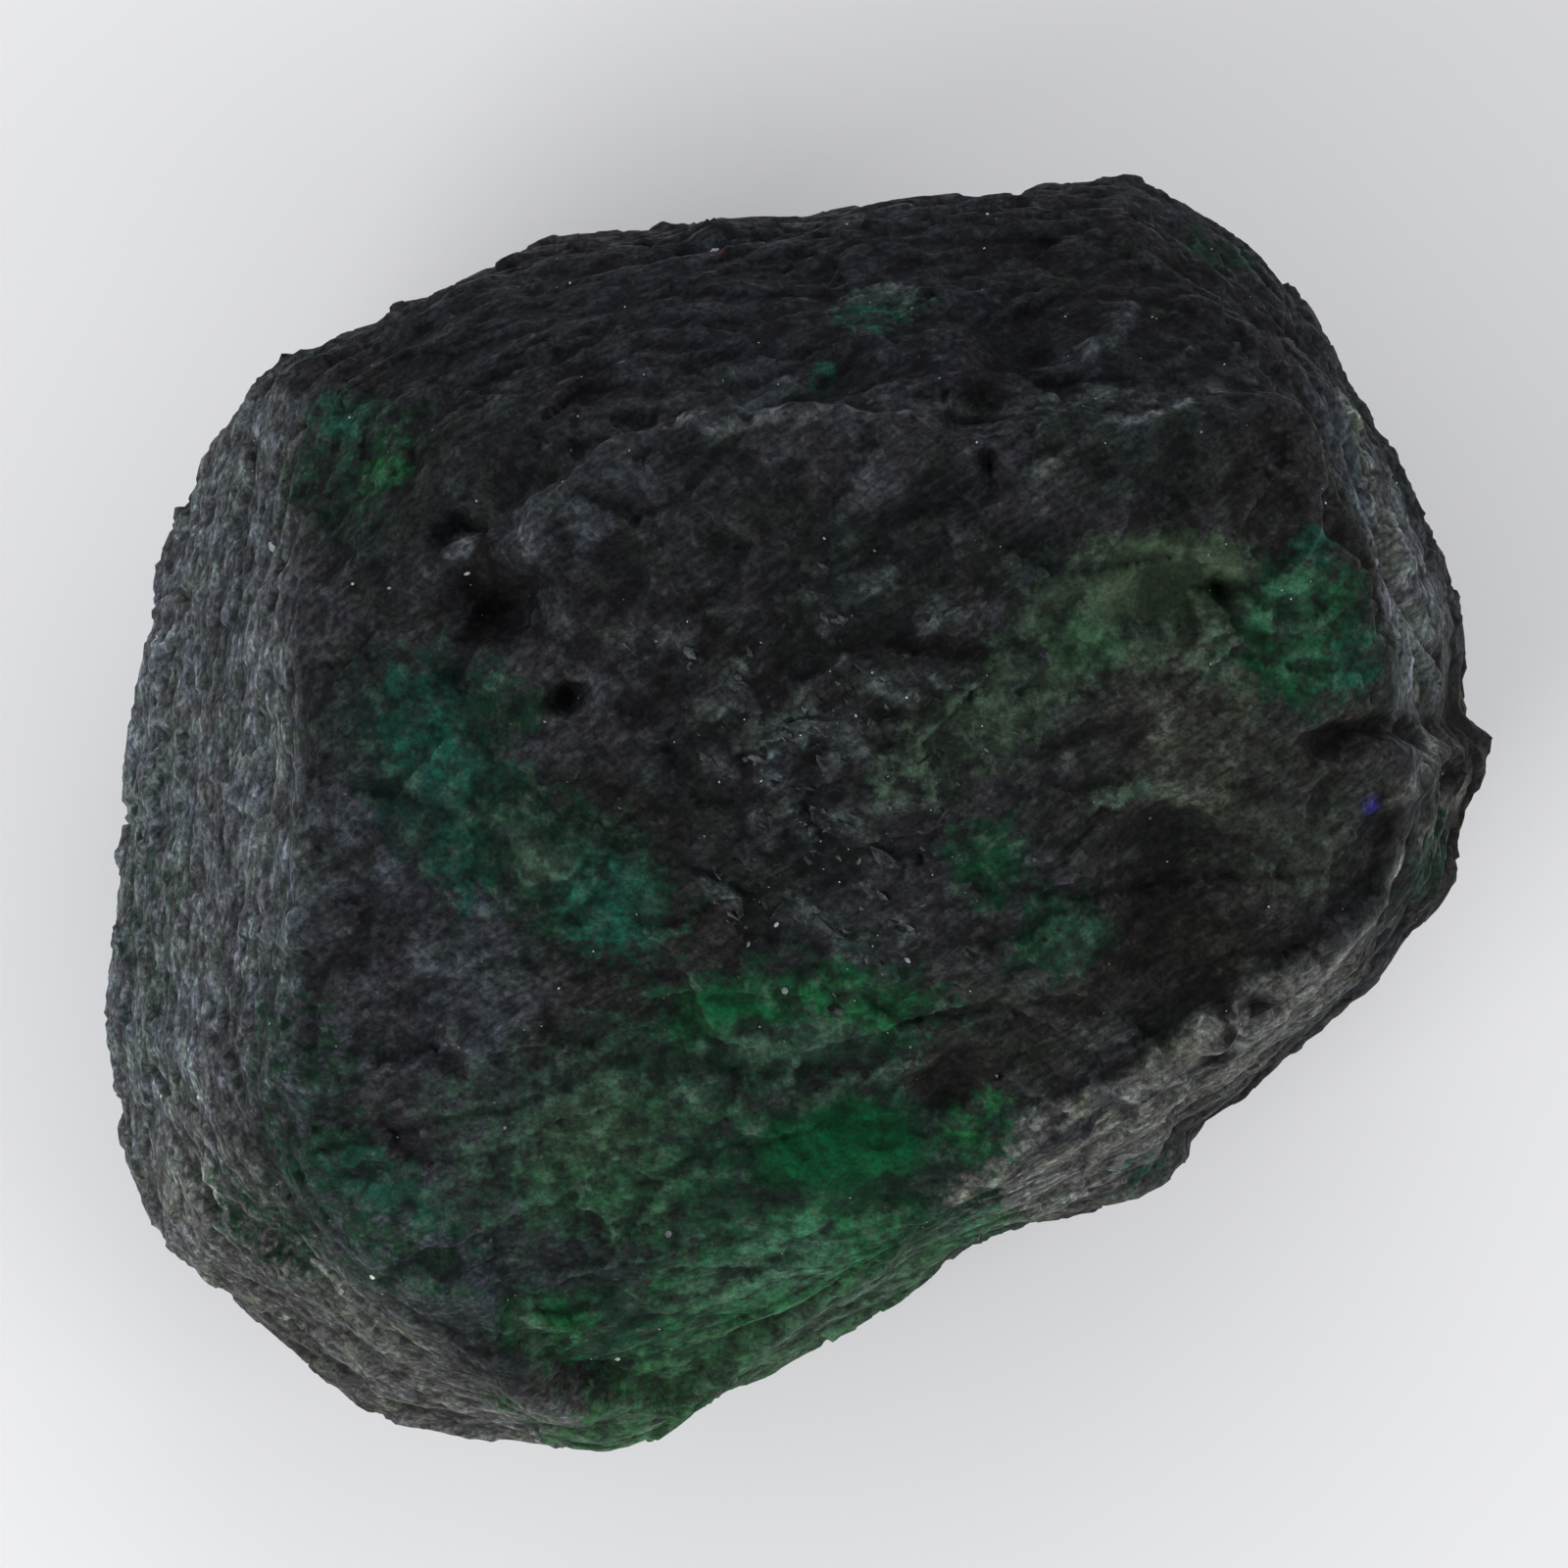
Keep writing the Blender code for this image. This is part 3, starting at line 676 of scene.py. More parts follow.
def add_node(tree, kind, **inputs):
    """A new node with some of its inputs set. In their names an underscore stands for a space."""
    node = tree.nodes.new(kind)
    for name, value in inputs.items():
        feed(tree, value, node.inputs[name.replace("_", " ")])
    return node


def arithmetic(tree, operation, *values):
    """The result of a Math node."""
    node = tree.nodes.new("ShaderNodeMath")
    node.operation = operation
    for value, socket in zip(values, node.inputs):
        feed(tree, value, socket)
    return node.outputs[0]


def vector_arithmetic(tree, operation, first, second):
    """The result of a Vector Math node."""
    node = tree.nodes.new("ShaderNodeVectorMath")
    node.operation = operation
    feed(tree, first, node.inputs[0])
    feed(tree, second, node.inputs["Scale" if operation == "SCALE" else 1])
    return node.outputs["Value" if operation == "DOT_PRODUCT" else "Vector"]


# %% [markdown]
# The other helpers make patterns and colours. A pattern gets a direction from a Mapping node. Of type
# Point it stretches the places first and turns them afterwards, so it can only make a pattern level or
# upright. Of type Texture it turns first, which lays a pattern along any line.

# %% Helpers for patterns and colours
def mapped(tree, places, scale, turn=(0.0, 0.0, 0.0), way="POINT"):
    """Places put through a Mapping node."""
    node = tree.nodes.new("ShaderNodeMapping")
    node.vector_type = way
    feed(tree, places, node.inputs["Vector"])
    node.inputs["Rotation"].default_value = turn
    node.inputs["Scale"].default_value = scale
    return node.outputs["Vector"]


def noise_pattern(tree, places, scale, detail=2.0, roughness=0.5, output="Fac"):
    """The value or the colour of a Noise Texture, with its middle near 0.5."""
    kind = {"Scale": scale, "Detail": detail, "Roughness": roughness}
    node = add_node(tree, "ShaderNodeTexNoise", Vector=places, **kind)
    return node.outputs[output]


def channels(tree, colour):
    """The three channels of a colour, which are three patterns of their own."""
    return add_node(tree, "ShaderNodeSeparateColor", Color=colour).outputs


def between(tree, value, low, high, to_low=0.0, to_high=1.0):
    """A value carried smoothly from one span to another."""
    spans = {"From_Min": low, "From_Max": high, "To_Min": to_low, "To_Max": to_high}
    node = add_node(tree, "ShaderNodeMapRange", Value=value, **spans)
    node.interpolation_type = "SMOOTHSTEP"
    return node.outputs["Result"]


def blend(tree, share, first, second, way="MIX"):
    """Two colours mixed by a share."""
    node = tree.nodes.new("ShaderNodeMix")
    node.data_type = "RGBA"
    node.blend_type = way
    feed(tree, share, node.inputs["Factor"])
    feed(tree, first, node.inputs["A"])
    feed(tree, second, node.inputs["B"])
    return node.outputs["Result"]


def toned(tree, colour, pattern, span):
    """A colour made lighter and darker by a pattern."""
    return vector_arithmetic(tree, "SCALE", colour, between(tree, pattern, *span))


def new_material(name):
    """A node material, with its tree, its surface shader and its places in millimetres."""
    material = bpy.data.materials.new(name)
    material.use_nodes = True
    tree = material.node_tree
    coordinates = tree.nodes.new("ShaderNodeTexCoord")
    places = mapped(tree, coordinates.outputs["Object"], (1 / MM, 1 / MM, 1 / MM))
    return material, tree, tree.nodes["Principled BSDF"], places


# %% [markdown]
# The rock's grain is used by more than one finish, so it is a node group: built once, with named
# sockets, and placed in each material with its own values. It gives a speckle for the colour and a
# height for the bump: mica grains of about a fifth of a millimetre, and threads along the layers.

# %% Grain as a node group
# Grains to a millimetre, then the detail and the roughness of their noise
GRAINS = 5.5
GRAIN_NOISE = (2.0, 0.75)
CELLS = 4.2
CELL_SHARE = 0.15
GRAIN_SHARE = 0.85
PALE_CELLS = (0.80, 0.97)
# Threads are level. The small turn comes after the stretching, so it only moves to another part of the noise
THREAD_STRETCH = (0.5, 0.5, 3.0)
THREAD_TURN = (-0.2, -0.06, 0.0)
THREAD_NOISE = (2.0, 0.55)
THREAD_HEIGHT = 0.01
THREAD_HEIGHT_AT_SIDES = 0.045
GRAIN_HEIGHT = 0.022
FACET_SLOPE = 0.22


def grain_group():
    """Mica grains and threads: a speckle, a share of pale grains, threads and a height in millimetres."""
    tree = bpy.data.node_groups.new("mica_grain", "ShaderNodeTree")
    tree.interface.new_socket(name="Places", in_out="INPUT", socket_type="NodeSocketVector")
    for name, default in (("Fineness", 1.0), ("Steep", 0.0)):
        socket = tree.interface.new_socket(name=name, in_out="INPUT", socket_type="NodeSocketFloat")
        socket.default_value = default
    for name in ("Speckle", "Pale Grains", "Threads", "Height"):
        tree.interface.new_socket(name=name, in_out="OUTPUT", socket_type="NodeSocketFloat")
    outside = tree.nodes.new("NodeGroupOutput").inputs
    given = tree.nodes.new("NodeGroupInput").outputs
    places = given["Places"]
    fineness = given["Fineness"]

    fine = noise_pattern(tree, places, arithmetic(tree, "MULTIPLY", fineness, GRAINS), *GRAIN_NOISE)
    cell_scale = arithmetic(tree, "MULTIPLY", fineness, CELLS)
    cells = add_node(tree, "ShaderNodeTexVoronoi", Vector=places, Scale=cell_scale)
    shades = channels(tree, cells.outputs["Color"])
    speckle = arithmetic(tree, "MULTIPLY", shades["Red"], CELL_SHARE)
    feed(tree, arithmetic(tree, "MULTIPLY_ADD", fine, GRAIN_SHARE, speckle), outside["Speckle"])
    feed(tree, between(tree, shades["Green"], *PALE_CELLS), outside["Pale Grains"])

    threads = noise_pattern(tree, mapped(tree, places, THREAD_STRETCH, THREAD_TURN), fineness, *THREAD_NOISE)
    feed(tree, threads, outside["Threads"])

    from_middle = vector_arithmetic(tree, "SUBTRACT", places, cells.outputs["Position"])
    slope = vector_arithmetic(tree, "SUBTRACT", cells.outputs["Color"], (0.5, 0.5, 0.5))
    facet = vector_arithmetic(tree, "DOT_PRODUCT", from_middle, slope)
    rise = arithmetic(tree, "MULTIPLY_ADD", given["Steep"], THREAD_HEIGHT_AT_SIDES, THREAD_HEIGHT)
    height = arithmetic(tree, "MULTIPLY_ADD", fine, GRAIN_HEIGHT, arithmetic(tree, "MULTIPLY", threads, rise))
    feed(tree, arithmetic(tree, "MULTIPLY_ADD", facet, FACET_SLOPE, height), outside["Height"])
    return tree


MICA_GRAIN = grain_group()


def grain_in(tree, places, fineness, steep=0.0):
    """The grain group placed in a material. Its outputs are returned."""
    node = tree.nodes.new("ShaderNodeGroup")
    node.node_tree = MICA_GRAIN
    for name, value in (("Places", places), ("Fineness", fineness), ("Steep", steep)):
        feed(tree, value, node.inputs[name])
    return node.outputs


print("sockets of the grain group:", [item.name for item in MICA_GRAIN.interface.items_tree])

# %% [markdown]
# The colours of the rock and of the beryl, as linear light. The rock is almost black: purple-grey mica,
# blue-grey where it is dusty and brown where iron has stained it. The beryl goes from blue-green over
# leaf green to olive, and it is palest where it is cracked. A tint is multiplied with what lies under it.

# %% Colours
MICA_DUST = (0.090, 0.092, 0.098)
DUST_SHARE = 0.042
PURPLE_GREY = (0.0148, 0.0150, 0.0172)
BLUE_GREY = (0.026, 0.031, 0.037)
BLUE_DUST = (0.056, 0.062, 0.068)
BROWN_BLACK = (0.0090, 0.0078, 0.0072)
COAL_BLUE = (0.0080, 0.0087, 0.0112)
DEEP_BLACK_AND_SHADE = (0.0050, 0.0050, 0.0052)
GREEN_BLACK = (0.0078, 0.0102, 0.0101)
GREEN_GREY = (0.020, 0.040, 0.0275)
ASH_GREY = (0.065, 0.065, 0.061)
TAN_GREY = (0.027, 0.030, 0.0235)
TAN_DARK = (0.015, 0.0165, 0.0125)
PALE_EDGE_AND_HIGHLIGHT = (0.085, 0.088, 0.080)
DUSTY_TINT = (1.34, 1.41, 1.48, 1)
OLIVE_TINT = (1.12, 1.2, 1.02, 1)
BROWN_TINT = (0.76, 0.71, 0.73, 1)
VIVID_GREEN = (0.001, 0.050, 0.015)
LENS_GREEN = (0.0005, 0.043, 0.0130)
LEAF_GREEN = (0.006, 0.062, 0.019)
OLIVE_LEAF = (0.018, 0.056, 0.022)
DEEP_GREEN = (0.0035, 0.020, 0.0095)
ROCK_IN_GREEN = (0.020, 0.025, 0.022)
TEAL_GREEN = (0.006, 0.044, 0.031)
BRIGHT_TEAL = (0.006, 0.064, 0.044)
TEAL_DARK = (0.0055, 0.019, 0.0165)
OLIVE_GREEN = (0.034, 0.055, 0.030)
OLIVE_DARK = (0.029, 0.046, 0.029)
MINT = (0.030, 0.095, 0.055)
PALE_GREEN = (0.042, 0.072, 0.050)
BRIGHT_BLUE = (0.022, 0.018, 0.170)
BRICK_RED = (0.110, 0.024, 0.020)
print("dust of mica:", MICA_DUST)

# %% [markdown]
# Each patch has the middle and the half sizes of an egg shape, its turn about the upright, its tone and its
# strength. The rock's zones are soft: dust on the steep sides, tan bands, smooth dark spots, and painted
# shade in hollows and on the north slope. Pale crests, partly painted highlight, and dark fissures, painted
# shade, are lines.

# %% Zones of the rock
ROCK_ZONES = {
    "west face": ((-26.0, -3.0, 14), (5.6, 17.0, 15), 0, BLUE_DUST, 0.93),
    "west face, north end": ((-22.5, 13.5, 16), (4.0, 5.0, 12), -25, BLUE_DUST, 0.6),
    "west ridge": ((-20.3, 4.0, 24), (2.2, 12.0, 5), 4, BLUE_DUST, 0.92),
    "south-west laminae": ((-21.0, -17.0, 15), (8.0, 4.5, 9), -38, ASH_GREY, 0.6),
    "south rim": ((-12.0, -24.0, 12), (8.0, 3.2, 8), -12, ASH_GREY, 0.65),
    # The pale tan zone under the south arc is partly a painted highlight below its ledge
    "south arc": ((-4.5, -22.6, 12), (6.0, 1.6, 5), 20, TAN_GREY, 0.7),
    "south-east band": ((11.0, -13.4, 17), (7.6, 2.8, 7), 32, ASH_GREY, 0.95),
    "south-east band, far": ((17.5, -9.0, 19), (6.0, 3.0, 7), 33, ASH_GREY, 0.7),
    "south-east foot": ((19.0, -10.5, 11), (8.0, 3.0, 6), 36, BROWN_BLACK, 0.35),
    "south-east ridge": ((20.5, -5.0, 23.5), (5.0, 1.2, 3), 50, ASH_GREY, 0.5),
    "east lamella": ((23.6, 8.5, 21), (2.6, 7.5, 8), 18, BLUE_DUST, 0.9),
    "north-east lamella": ((21.0, 14.0, 22), (1.8, 3.0, 6), 30, BLUE_GREY, 0.8),
    "knob": ((26.0, 1.4, 14), (3.8, 5.6, 10), 0, BROWN_BLACK, 0.85),
    "crown, west": ((-15.0, -6.0, 27), (5.0, 8.0, 5), 0, BLUE_GREY, 0.62),
    "crown, south-west": ((-13.5, -15.0, 23), (6.0, 4.0, 4), -20, BLUE_GREY, 0.5),
    "brown east": ((15.5, 2.5, 28), (6.5, 6.0, 4), 0, TAN_DARK, 0.7),
    "brown south-east": ((9.0, -6.5, 26), (6.0, 3.2, 3), 30, TAN_DARK, 0.6),
    # The north slope faces away from the light, and its dark zones are partly painted shade
    "north slope": ((6.0, 20.0, 24), (22.0, 5.5, 12), 3, COAL_BLUE, 0.92),
    "north slope, east": ((12.5, 20.5, 25), (7.0, 3.6, 8), -4, DEEP_BLACK_AND_SHADE, 0.7),
    "bladed ground": ((0.5, 2.2, 31), (5.6, 6.0, 4), -20, DEEP_BLACK_AND_SHADE, 0.6),
    "tan wedge": ((14.2, 4.0, 28.8), (1.9, 3.9, 3), -10, TAN_GREY, 0.98),
    "tan wedge, top": ((13.2, 6.8, 29.2), (2.9, 1.8, 3), 10, TAN_GREY, 0.8),
    "north-west crown": ((-8.5, 8.5, 30), (7.5, 5.0, 4), 20, PURPLE_GREY, 0.65),
    # The west hollow, the cave under the ledge and the dark below the tan wedge are painted shade in recesses
    "west hollow": ((-10.6, 8.9, 29.6), (2.8, 2.0, 3), 20, DEEP_BLACK_AND_SHADE, 0.85),
    "cave": ((6.5, 15.4, 31.4), (1.7, 1.2, 2), 15, DEEP_BLACK_AND_SHADE, 0.9),
    "painted shade under the tan wedge": ((13.4, -0.1, 28), (2.4, 0.9, 3), 12, DEEP_BLACK_AND_SHADE, 0.85),
    "slab": ((17.0, 12.0, 30), (3.0, 3.4, 3), 0, BROWN_BLACK, 0.6),
    "smooth spot": ((-14.0, -11.0, 25.5), (2.8, 2.6, 3), 0, PURPLE_GREY, 1.0),
    "smooth spot, north": ((-15.6, -5.0, 27), (2.2, 3.6, 3), 0, PURPLE_GREY, 0.8),
    "purple patch": ((-7.6, 12.0, 30.6), (2.8, 1.4, 3), 35, BLUE_GREY, 0.5),
    "dark hollow": ((14.4, -3.8, 26.5), (4.6, 2.4, 3), 12, BROWN_BLACK, 0.95),
    "dark middle": ((5.4, -9.4, 25.6), (2.2, 1.3, 3), 30, BROWN_BLACK, 0.9),
    "holes' ground": ((17.4, -6.6, 23.0), (2.9, 1.4, 7), 32, ASH_GREY, 0.95),
    "dark south": ((-5.4, -6.4, 27), (1.8, 1.2, 2), 0, BROWN_BLACK, 0.8),
    "dark east of the wedge": ((-3.6, -3.6, 28), (1.6, 2.2, 3), 30, BROWN_BLACK, 0.85),
    # Painted shadow below the pale lens
    "painted shadow under the lens": ((12.2, 0.9, 28.4), (1.2, 0.4, 2), 5, BROWN_BLACK, 0.9),
}
# A line has its points, told east and north only, then how far it reaches, its tone and its strength
ROCK_LINES = {
    # Pale lines on crests and rims are partly the paler rock of worn edges and partly painted highlights
    "south-east crest": (((5.9, -13.1), (9, -10.8), (12.2, -9.4), (15.8, -6.6)), 0.55, PALE_EDGE_AND_HIGHLIGHT, 0.8),
    "crest over the holes": (((15.8, -6.6), (19.4, -5.4), (21.8, -2.6), (22.6, -0.7)), 0.5, PALE_EDGE_AND_HIGHLIGHT, 0.7),
    "east lamella's edge": (((21.3, 16.5), (21.8, 12.6), (23.0, 8.2), (23.4, 5.0)), 0.6, PALE_EDGE_AND_HIGHLIGHT, 0.6),
    # The pale line along the ledge's edge is a painted highlight
    "north ledge's edge": (((-5.8, 14.4), (2.1, 14.8), (9.9, 15.2), (15.1, 15.8)), 0.35, BLUE_DUST, 0.5),
    "south-west crest": (
        ((-23.0, -13.2), (-21.5, -15.4), (-19.1, -16.9), (-14.2, -19.6)), 0.6, PALE_EDGE_AND_HIGHLIGHT, 0.5,
    ),
    "south-west rim": (((-24.8, -14.4), (-23.1, -17.6), (-21.1, -19.5)), 0.6, PALE_EDGE_AND_HIGHLIGHT, 0.4),
    # The tan line under the south arc is partly a painted highlight below its ledge
    "south arc's edge": (((-10.2, -19.6), (-7.9, -21.9), (-4.2, -22.6), (-1.9, -22.2)), 0.5, TAN_GREY, 0.7),
    "knob's crest": (((22.0, 1.4), (22.9, 2.3), (24.2, 3.6)), 0.5, PALE_EDGE_AND_HIGHLIGHT, 0.5),
    "knob's rim": (((23.7, -0.1), (25.5, 0.8), (26.3, 1.6)), 0.5, PALE_EDGE_AND_HIGHLIGHT, 0.5),
    # The dark lines in the fissures, the slot and the crack are painted shade
    "east fissure": (((18.5, 15.6), (19.5, 12.4), (20.9, 9.0), (21.6, 6.8)), 0.45, BROWN_BLACK, 0.9),
    "outer fissure": (((21.8, 13.4), (23.8, 10.6), (25.0, 6.8)), 0.4, BROWN_BLACK, 0.8),
    "slot over the knob": (((19.3, 3.8), (20.9, 3.7), (22.9, 4.2)), 0.55, BROWN_BLACK, 0.95),
    "crack by the chip": (((15.2, 9.8), (15.4, 8.8), (15.9, 7.6)), 0.4, BROWN_BLACK, 0.9),
    # The pale lines along the shingles, the arc's brow and the slab's rim are painted highlights
    "shingle's edge": (((10.6, 14.0), (12.6, 14.8), (13.8, 15.4)), 0.35, BLUE_DUST, 0.7),
    "shingle's edge, west": (((8.3, 13.1), (10.0, 13.8)), 0.35, BLUE_DUST, 0.6),
    "arc brow": (((-11.9, 10.2), (-10.9, 10.8), (-10.0, 10.9), (-9.2, 10.5)), 0.5, BLUE_DUST, 0.6),
    "slab's rim": (((8.3, 16.5), (10.4, 17.1), (11.6, 18.0), (12.0, 19.1)), 0.4, BLUE_GREY, 0.7),
}
print("zones of rock:", len(ROCK_ZONES), "lines:", len(ROCK_LINES))

# %% [markdown]
# A few spots have clear edges: the holes in the south-east band, which are pits too but look black only when
# they are also coloured black as painted shade, and two specks of bright colour. They are less torn than the
# zones.

# %% Small spots with clear edges
SPOTS = {
    # The holes and the crescent are painted shade: black colour where the pits lie in shadow
    "big hole": ((16.9, -6.3, 24.3), (0.85, 0.6, 2.4), 10, DEEP_BLACK_AND_SHADE, 1.0),
    "small hole": ((15.6, -6.5, 25.4), (0.45, 0.42, 1.6), 10, DEEP_BLACK_AND_SHADE, 1.0),
    "hole below": ((15.8, -7.5, 24.6), (0.75, 0.45, 2.4), -20, DEEP_BLACK_AND_SHADE, 1.0),
    "long hole": ((15.9, -8.5, 20.8), (1.0, 0.4, 1.8), 4, DEEP_BLACK_AND_SHADE, 1.0),
    "far hole": ((18.0, -6.3, 23.8), (0.4, 0.4, 1.6), 0, DEEP_BLACK_AND_SHADE, 0.9),
    "crescent": ((12.0, -10.0, 22.2), (0.75, 0.3, 1.8), 24, DEEP_BLACK_AND_SHADE, 0.95),
    "blue speck": ((20.95, 0.95, 25), (0.34, 0.24, 1), 20, BRIGHT_BLUE, 0.95),
    "red speck": ((-2.7, 21.6, 22), (0.2, 0.15, 0.5), 0, BRICK_RED, 0.8),
}
print("spots:", len(SPOTS))

# %% [markdown]
# The beryl lies in the rock in torn patches, each with a deep green field and brighter hearts in it. The
# smaller ones come later, because they lie on top. In the west it is thin: olive in the south-west, and
# blue-green where it fills an old crack.

# %% Crystal in the west
CRYSTALS = {
    "olive field": ((-7.1, -11.6, 25), (6.2, 4.4, 4), 8, GREEN_GREY, 0.72),
    "olive field, green part": ((-6.0, -12.4, 25), (4.8, 3.0, 4), 15, LEAF_GREEN, 0.40),
    "olive spots": ((-7.6, -11.0, 25), (2.2, 1.4, 3), 0, OLIVE_GREEN, 0.45),
    "south-west field": ((-15.0, -14.6, 22), (5.0, 2.6, 5), -30, DEEP_GREEN, 0.5),
    "south-west green": ((-20.5, -15.5, 17), (3.4, 2.2, 5), -40, DEEP_GREEN, 0.55),
    "south-west spots": ((-15.0, -13.0, 24), (3.0, 1.1, 3), -25, TEAL_GREEN, 0.45),
    "west field": ((-18.0, -9.5, 24), (2.6, 5.0, 5), 0, DEEP_GREEN, 0.45),
    "west green": ((-25.5, -4.3, 12.8), (2.4, 7.0, 6), 0, DEEP_GREEN, 0.30),
    "teal field": ((-13.1, 2.9, 28.5), (2.8, 3.6, 3), 0, TEAL_DARK, 0.95),
    "teal heart": ((-13.4, 3.8, 28.5), (1.6, 1.8, 3), 0, BRIGHT_TEAL, 0.62),
    "teal bead, north": ((-12.2, 2.0, 28.5), (0.8, 0.6, 2), 0, BRIGHT_TEAL, 0.55),
    "teal bead, south": ((-11.4, 0.6, 28.6), (0.7, 0.6, 2), 0, BRIGHT_TEAL, 0.55),
    "teal arm": ((-10.6, 4.4, 29), (1.6, 1.0, 3), 0, DEEP_GREEN, 0.8),
    "teal spots": ((-11.4, 0.2, 28.6), (1.5, 2.8, 3), -25, TEAL_GREEN, 0.55),
    "wedge field": ((-8.0, -1.2, 29), (4.8, 2.4, 3), -38, DEEP_GREEN, 0.95),
    "wedge heart": ((-6.6, -2.6, 28.4), (1.5, 1.9, 3), 25, BRIGHT_TEAL, 0.68),
    "wedge crystal": ((-9.1, -0.5, 29.5), (1.5, 0.8, 2), -38, PALE_GREEN, 0.75),
}
print("patches in the west:", len(CRYSTALS))

# %% [markdown]
# The middle and the south hold the best green, and the lens at the middle's edge is the clearest piece of
# it. On the south side the green runs down the stone in tongues, with patches of rock between them,
# because a straight edge there would look painted.

# %% Crystal in the middle and the south
CRYSTALS.update({
    "upper green field": ((-0.6, -6.9, 27), (6.2, 2.5, 3), 6, DEEP_GREEN, 0.95),
    "upper green": ((-0.3, -6.5, 27.2), (4.8, 1.5, 3), 4, LEAF_GREEN, 0.75),
    "upper green heart": ((-2.2, -6.2, 27.5), (1.7, 1.0, 3), 0, VIVID_GREEN, 0.9),
    "upper pale": ((-0.2, -7.4, 27), (2.8, 0.8, 3), 0, GREEN_GREY, 0.8),
    "lens field": ((1.0, -12.2, 24.8), (5.2, 2.9, 3), 10, DEEP_GREEN, 0.98),
    "lens rim": ((1.4, -13.4, 24.2), (4.0, 0.9, 3), 6, GREEN_BLACK, 0.8),
    "lens rim, east": ((5.0, -11.6, 24.6), (0.8, 1.6, 3), 0, GREEN_BLACK, 0.8),
    "green lens": ((1.5, -11.8, 24.8), (3.3, 1.8, 3), 4, LENS_GREEN, 1.0),
    "lower green field": ((0.2, -16.2, 20.5), (6.6, 3.4, 5), 16, DEEP_GREEN, 0.95),
    "lower green": ((0.6, -16.3, 20.5), (5.4, 2.7, 5), 16, LEAF_GREEN, 0.98),
    "lower green heart": ((-0.6, -15.9, 21.0), (2.8, 1.7, 4), 10, MINT, 0.62),
    "lower pale": ((-2.2, -16.8, 20.5), (2.8, 1.1, 4), 20, PALE_GREEN, 0.45),
    "south green": ((-2.6, -20.0, 17.0), (5.4, 2.5, 6), 18, LEAF_GREEN, 0.7),
    "south side": ((-0.8, -20.2, 12.0), (9.6, 3.4, 8), 30, OLIVE_LEAF, 0.85),
    "south side, pale": ((1.6, -19.0, 13.0), (4.4, 1.5, 5), 36, PALE_GREEN, 0.55),
    "south foot": ((-6.4, -24.4, 10.5), (3.8, 1.3, 5), 14, OLIVE_LEAF, 0.7),
    "south side, east tongue": ((6.6, -16.6, 14.8), (2.8, 1.8, 2.4), 30, OLIVE_LEAF, 0.7),
    "south side, east spots": ((9.4, -15.2, 8.4), (2.2, 1.6, 1.6), 30, DEEP_GREEN, 0.8),
    "south side, rock": ((4.6, -17.0, 7.4), (3.6, 2.0, 2.4), 20, ROCK_IN_GREEN, 0.85),
    "south side, low rock": ((-4.5, -22.6, 4.6), (5.5, 2.4, 1.8), 10, ROCK_IN_GREEN, 0.75),
    "south side, vein": ((0.4, -19.6, 12.2), (2.4, 1.6, 0.9), 25, ROCK_IN_GREEN, 0.7),
    "south side, west spots": ((-10.2, -22.8, 14.4), (2.0, 1.6, 1.6), 0, OLIVE_LEAF, 0.6),
    "south-west foot": ((-13.6, -23.4, 6.6), (2.4, 2.0, 1.4), 0, DEEP_GREEN, 0.7),
    "south field": ((-8.0, -18.5, 20), (3.0, 2.5, 3), 0, DEEP_GREEN, 0.8),
    "south crystal": ((-9.3, -18.6, 20), (1.7, 1.7, 3), 0, LEAF_GREEN, 0.8),
    "south crystal, pale side": ((-9.9, -18.9, 19.6), (0.7, 1.1, 2), 20, PALE_GREEN, 0.7),
    "south-east mint": ((6.6, -15.8, 17.0), (1.6, 0.9, 4), 25, MINT, 0.6),
    "south-east field": ((6.0, -14.6, 19.0), (3.2, 1.5, 4), 33, DEEP_GREEN, 0.6),
    "ledge green": ((7.2, -10.6, 24.5), (1.5, 1.2, 3), 20, LEAF_GREEN, 0.6),
    "pale streak": ((2.3, -9.3, 25.3), (2.4, 0.35, 3), 28, PALE_GREEN, 0.6),
})
print("patches with the middle and the south:", len(CRYSTALS))

# %% [markdown]
# In the east the beryl is older-looking, olive and tan where iron has stained it, with a green eye on the
# shoulder. The north has only a few small teal spots. A handful of all these are whole crystals, and they
# are named once more, so that the material can make them clear.

